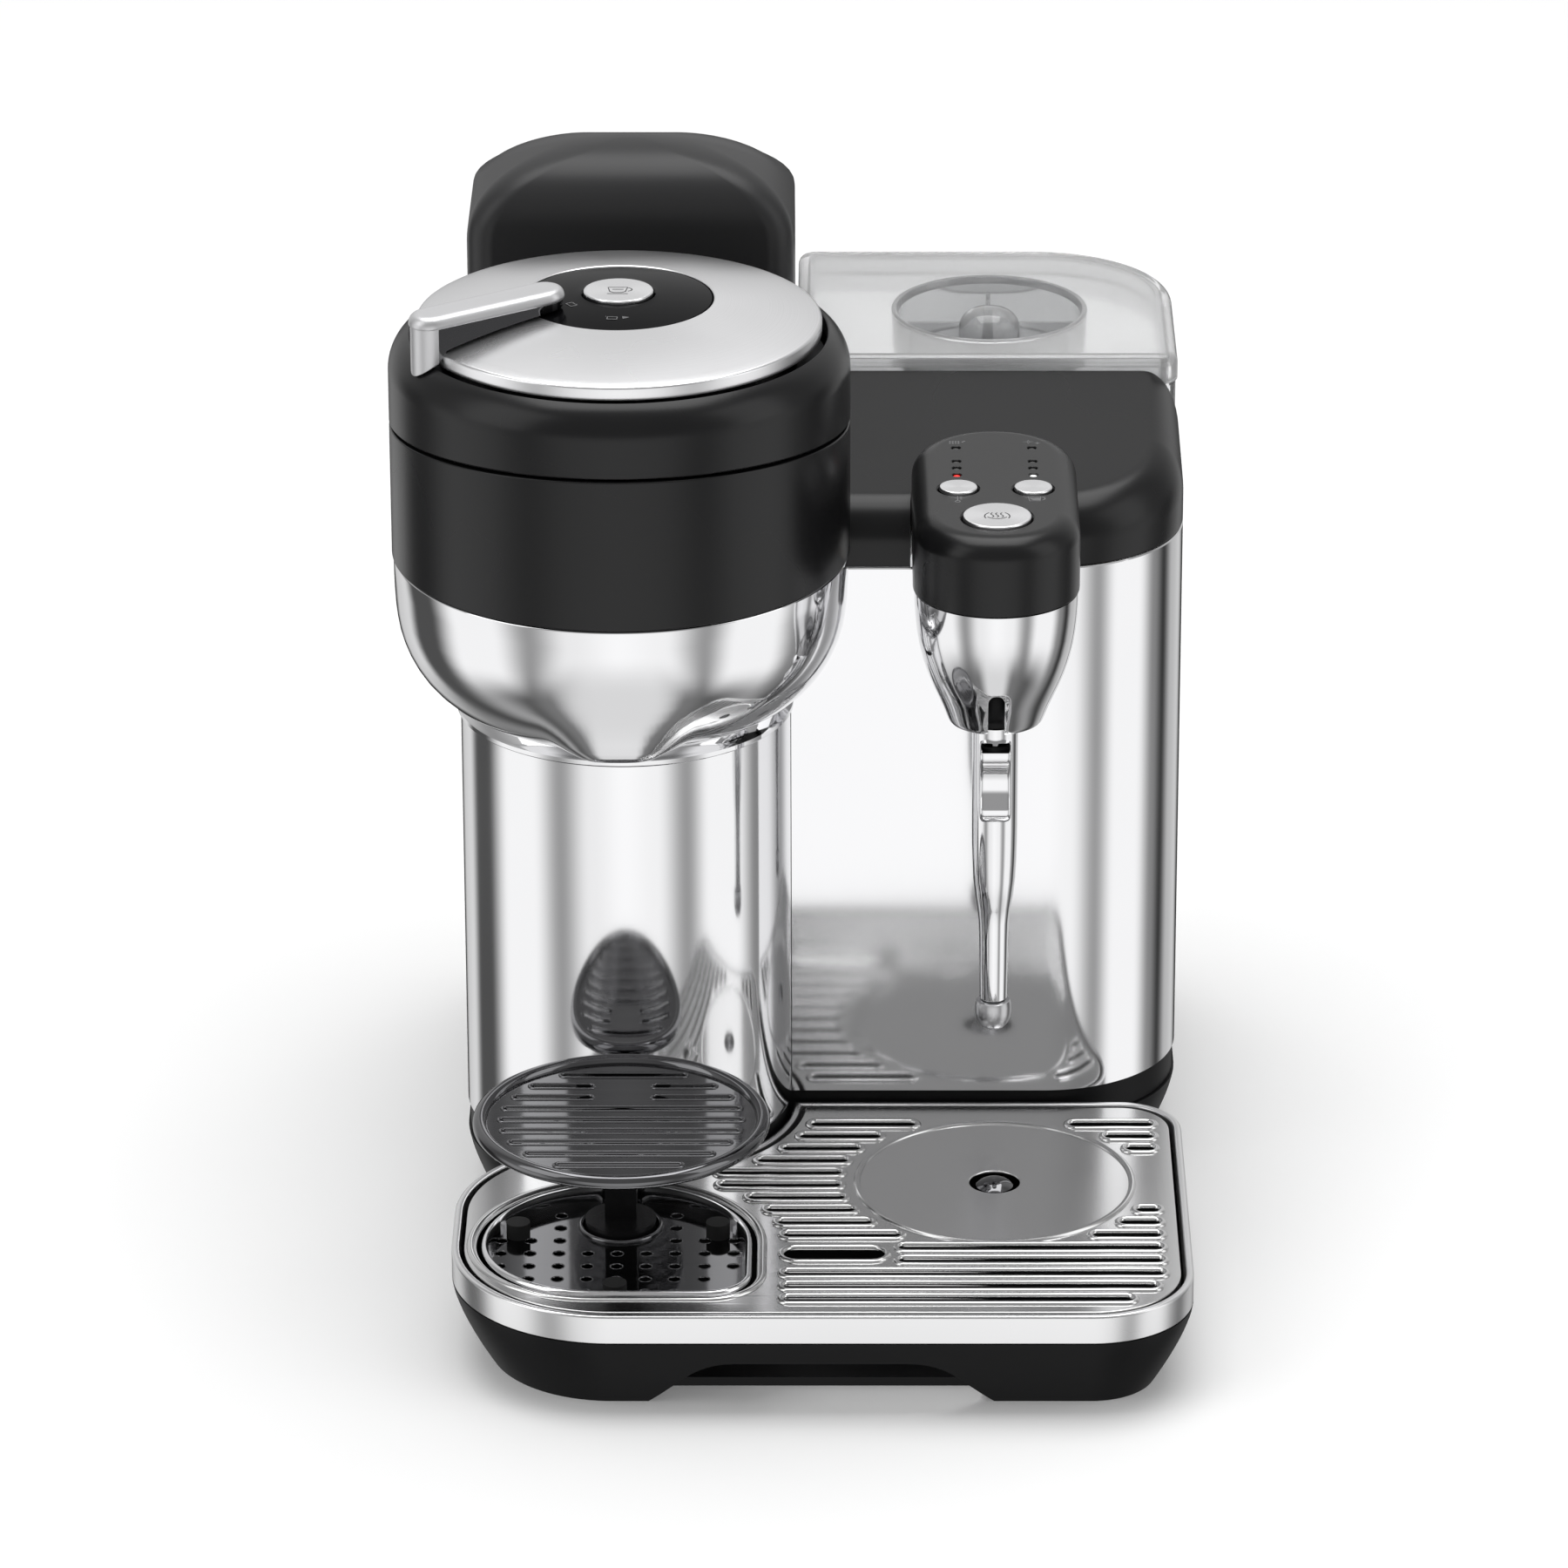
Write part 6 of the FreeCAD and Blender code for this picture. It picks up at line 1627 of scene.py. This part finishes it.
def bin_slice(z, inset):
    """Rounded rectangle at one height of the container."""
    top = bin_high.z - inset
    up = min(max((z - ARCH_Z) / (top - ARCH_Z), 0.0), 1.0)
    half = max((BIN_HALF - inset) * (1 - up ** ARCH_CURVE) ** (1 / ARCH_CURVE), 0.2)
    rise = min(max((z - FACE_Z) / (top - FACE_Z), 0.0), 1.0)
    y0 = CREST_Y - (CREST_Y - bin_low.y - inset) * (1 - rise ** FACE_CURVE) ** (1 / FACE_CURVE)
    y1 = bin_high.y - inset
    if z > BACK_Z:
        y1 -= BACK_STEP * min((z - BACK_Z) / (SLOPE_Z - BACK_Z), 1.0)
    if z > SLOPE_Z:
        y1 = CREST_Y + (y1 - CREST_Y) * max((top - z) / (top - SLOPE_Z), 0.0) ** 0.8
    y0, y1 = min(y0, CREST_Y - 0.15), max(y1, CREST_Y + 0.15)
    reach = min(half, (y1 - y0) / 2) - 0.05
    front = min(max(FRONT_CORNER - inset, 1.0), reach)
    back = min(max(BACK_CORNER - inset, 1.0), reach)
    x0, x1 = BIN_X - half, BIN_X + half
    ring = arc(x0 + front, y0 + front, front, 180, 270, 12)
    ring += arc(x1 - front, y0 + front, front, 270, 360, 12)
    ring += arc(x1 - back, y1 - back, back, 0, 90, 12)
    ring += arc(x0 + back, y1 - back, back, 90, 180, 12)
    return [(x, y, z) for x, y in ring]


def bin_skin(inset, low):
    """All slices from the foot up, closer together where the top rounds over."""
    heights = [low + (BACK_Z - low) * k / 6 for k in range(7)] + [290.0, 294.0, 298.0, 301.0, 303.0]
    rise = bin_high.z - inset - 303.02
    heights += [303.0 + rise * math.sin(math.pi / 2 * k / 26) for k in range(1, 27)]
    return [bin_slice(z, inset) for z in heights]


outer = bin_skin(0.0, bin_low.z + 1.0)
foot = []
for x, y, z in outer[0]:
    foot.append((x + (BIN_X - x) * FOOT_EASE, y + (FOOT_Y - y) * FOOT_EASE, bin_low.z))
outer_skin = loft([foot] + outer)
inner_skin = loft(bin_skin(BIN_WALL, bin_low.z + BIN_WALL))
print("container skins made")

# %% [markdown]
# Used capsules drop in from the head through a window in the bin's front. It is cut as a rounded
# opening, low enough to stay hidden behind the lid.

# %% Window of the container
WINDOW_HALF, WINDOW_LOW, WINDOW_HIGH = 34, 256.0, 296.0
left, right = HEAD_X - WINDOW_HALF, HEAD_X + WINDOW_HALF
corners = [(left, WINDOW_LOW), (right, WINDOW_LOW), (right, WINDOW_HIGH), (left, WINDOW_HIGH)]
window = soften(corners, 6.0, 5, closed=True)
window_cut = loft([[(x, y, z) for x, z in window] for y in (bin_low.y - 6.0, bin_low.y + 9.0)])
bin_mesh = boolean(boolean(outer_skin, inner_skin), window_cut)
place("capsule_bin", bin_mesh, "capsule_container", bin_plastic, "capsule_container", 32)
print("container made")

# %% [markdown]
# ## Stage, light and camera
# The floor is a wide pale sheet that mirrors do not see, so that polished parts mirror the room
# instead. Light comes from broad soft panels above and beside the machine.

# %% Stage
FLOOR_HALF, FLOOR_THICK = 6000, 30
square = [(-1, -1), (1, -1), (1, 1), (-1, 1)]
floor_mesh = loft([[(FLOOR_HALF * x, FLOOR_HALF * y, z) for x, y in square] for z in (-FLOOR_THICK, 0)])
floor_white = make_finish("floor_white", (0.86, 0.86, 0.86), (0.88, 0.88, 0.88), 0.0,
                          (0.55, 0.62), 3.0, 0.0, mottle=1.5)
floor_shader = floor_white.node_tree.nodes["Principled BSDF"]
floor_shader.inputs["Emission Color"].default_value = (1, 1, 1, 1)
floor_shader.inputs["Emission Strength"].default_value = 0.12
floor = bpy.data.objects.new("floor", floor_mesh)
floor.data.materials.append(floor_white)
floor.visible_glossy = False
bpy.context.scene.collection.objects.link(floor)


def softbox(name, place_at, aim, width, height, power):
    """Soft rectangular light that looks at a point."""
    light = bpy.data.lights.new(name, "AREA")
    light.shape, light.size, light.size_y, light.energy = "RECTANGLE", width, height, power
    lamp = bpy.data.objects.new(name, light)
    lamp.location = place_at
    lamp.rotation_euler = (Vector(aim) - Vector(place_at)).to_track_quat("-Z", "Y").to_euler()
    bpy.context.scene.collection.objects.link(lamp)


softbox("top_light", (0.0, 0.45, 3.0), (0, 0.3, 0.1), 2.6, 2.2, 62.0)
softbox("left_light", (-1.7, -0.9, 1.2), (0, 0, 0.2), 1.3, 1.9, 9.0)
softbox("right_light", (1.8, -0.6, 1.1), (0, 0, 0.2), 1.1, 1.8, 6.0)
print("floor and lights placed")

# %% [markdown]
# Chrome shows only what surrounds it, so the room is a ring of soft bright and dark screens. Each
# screen is a stop on a ramp round the compass. Upright walls mirror the lower ring, which has deep
# dark gaps, and level faces mirror the upper ring, which is brightest behind the machine.

# %% Compass of the room
world = bpy.data.worlds.new("studio")
bpy.context.scene.world = world
world.use_nodes = True
tree = world.node_tree
backdrop = tree.nodes["Background"]
coords = tree.nodes.new("ShaderNodeTexCoord")
turn = put(tree, "ShaderNodeMapping", Rotation=(0.0, 0.0, math.radians(90.0)))
compass = tree.nodes.new("ShaderNodeTexGradient")
compass.gradient_type = "RADIAL"
split = tree.nodes.new("ShaderNodeSeparateXYZ")
tree.links.new(coords.outputs["Generated"], turn.inputs["Vector"])
tree.links.new(turn.outputs["Vector"], compass.inputs["Vector"])
tree.links.new(coords.outputs["Generated"], split.inputs["Vector"])
print("compass ready")


# %% Tools for the screens
def screens(stops):
    """Brightness round the compass; each stop is (degrees to the right of the front, brightness)."""
    ramp = tree.nodes.new("ShaderNodeValToRGB")
    ramp.color_ramp.interpolation = "EASE"
    marks = ramp.color_ramp.elements
    for turn_by, level in stops[1:-1]:
        marks.new(0.5 + turn_by / 360)
    for element, (turn_by, level) in zip(marks, stops):
        element.position = 0.5 + turn_by / 360
        element.color = (level, level, level, 1)
    tree.links.new(compass.outputs["Fac"], ramp.inputs["Fac"])
    return ramp.outputs["Color"]


def by_height(low, high, at_low, at_high):
    """Smooth change of a number with the height of the direction."""
    change = put(tree, "ShaderNodeMapRange", From_Min=low, From_Max=high, To_Min=at_low, To_Max=at_high)
    change.interpolation_type = "SMOOTHSTEP"
    tree.links.new(split.outputs["Z"], change.inputs["Value"])
    return change.outputs["Result"]


def mixed(operation, first, second):
    """One math step; each input is a number or the output of another node."""
    node = tree.nodes.new("ShaderNodeMath")
    node.operation = operation
    for socket, value in zip(node.inputs, (first, second)):
        if isinstance(value, float):
            socket.default_value = value
        else:
            tree.links.new(value, socket)
    return node.outputs["Value"]


print("screen tools ready")

# %% [markdown]
# Three rings of screens are blended by height. The deepest one is what level chrome under an
# overhang sees, the lower one is for upright walls, and the upper one is for faces that look up.
# Right overhead the room is evenly bright.

# %% Screens round the room
lower = screens([(-180, 0.02), (-168, 0.04), (-156, 0.6), (-140, 0.7), (-127, 0.08), (-112, 0.08),
                 (-90, 1.0), (-68, 1.0), (-46, 0.34), (-24, 0.92), (0, 1.05), (22, 0.98),
                 (44, 0.34), (62, 1.0), (84, 1.0), (104, 0.25), (118, 0.04), (134, 0.5), (150, 0.6),
                 (165, 0.04), (180, 0.02)])
deep = screens([(-180, 0.05), (-150, 0.3), (-120, 0.1), (-90, 0.45), (-60, 0.15), (-35, 0.25),
                (-14, 1.0), (12, 1.0), (32, 0.25), (60, 0.15), (90, 0.4), (120, 0.08), (150, 0.3),
                (180, 0.05)])
upper = screens([(-180, 1.0), (-140, 0.85), (-110, 0.45), (-80, 0.75), (-40, 0.4), (0, 0.5),
                 (40, 0.4), (80, 0.7), (110, 0.45), (140, 0.85), (180, 1.0)])
wall_part = mixed("MULTIPLY", lower, by_height(-0.78, -0.5, 0.0, 2.0))
deep_part = mixed("MULTIPLY", deep, by_height(-0.78, -0.5, 1.5, 0.0))
low_part = mixed("MULTIPLY", mixed("ADD", wall_part, deep_part), by_height(-0.12, 0.12, 1.0, 0.0))
high_part = mixed("MULTIPLY", mixed("MULTIPLY", upper, 1.3), by_height(-0.12, 0.12, 0.0, 1.0))
room = mixed("MAXIMUM", mixed("ADD", low_part, high_part), by_height(0.55, 0.95, 0.0, 0.8))
tree.links.new(room, backdrop.inputs["Color"])
backdrop.inputs["Strength"].default_value = 0.55
print("screens round the room ready")

# %% [markdown]
# The camera stands well in front of the machine and looks down on it. A long lens keeps upright
# edges nearly parallel, as in a catalogue. It looks straight back, and shifting the lens sideways
# centres the machine without turning the camera.

# %% Camera
LOOK_DOWN = 23.0
camera = bpy.data.objects.new("camera", bpy.data.cameras.new("camera"))
camera.location = (0.01497, -2.4563, 1.1816)
camera.rotation_euler = (math.radians(90.0 - LOOK_DOWN), 0.0, 0.0)
camera.data.sensor_width = 36.0
camera.data.lens = 190.0
camera.data.shift_x = -0.0361
camera.data.clip_end = 50.0
bpy.context.scene.collection.objects.link(camera)
bpy.context.scene.camera = camera
bpy.context.scene.view_settings.view_transform = "Standard"
print("camera looks down", LOOK_DOWN, "degrees")
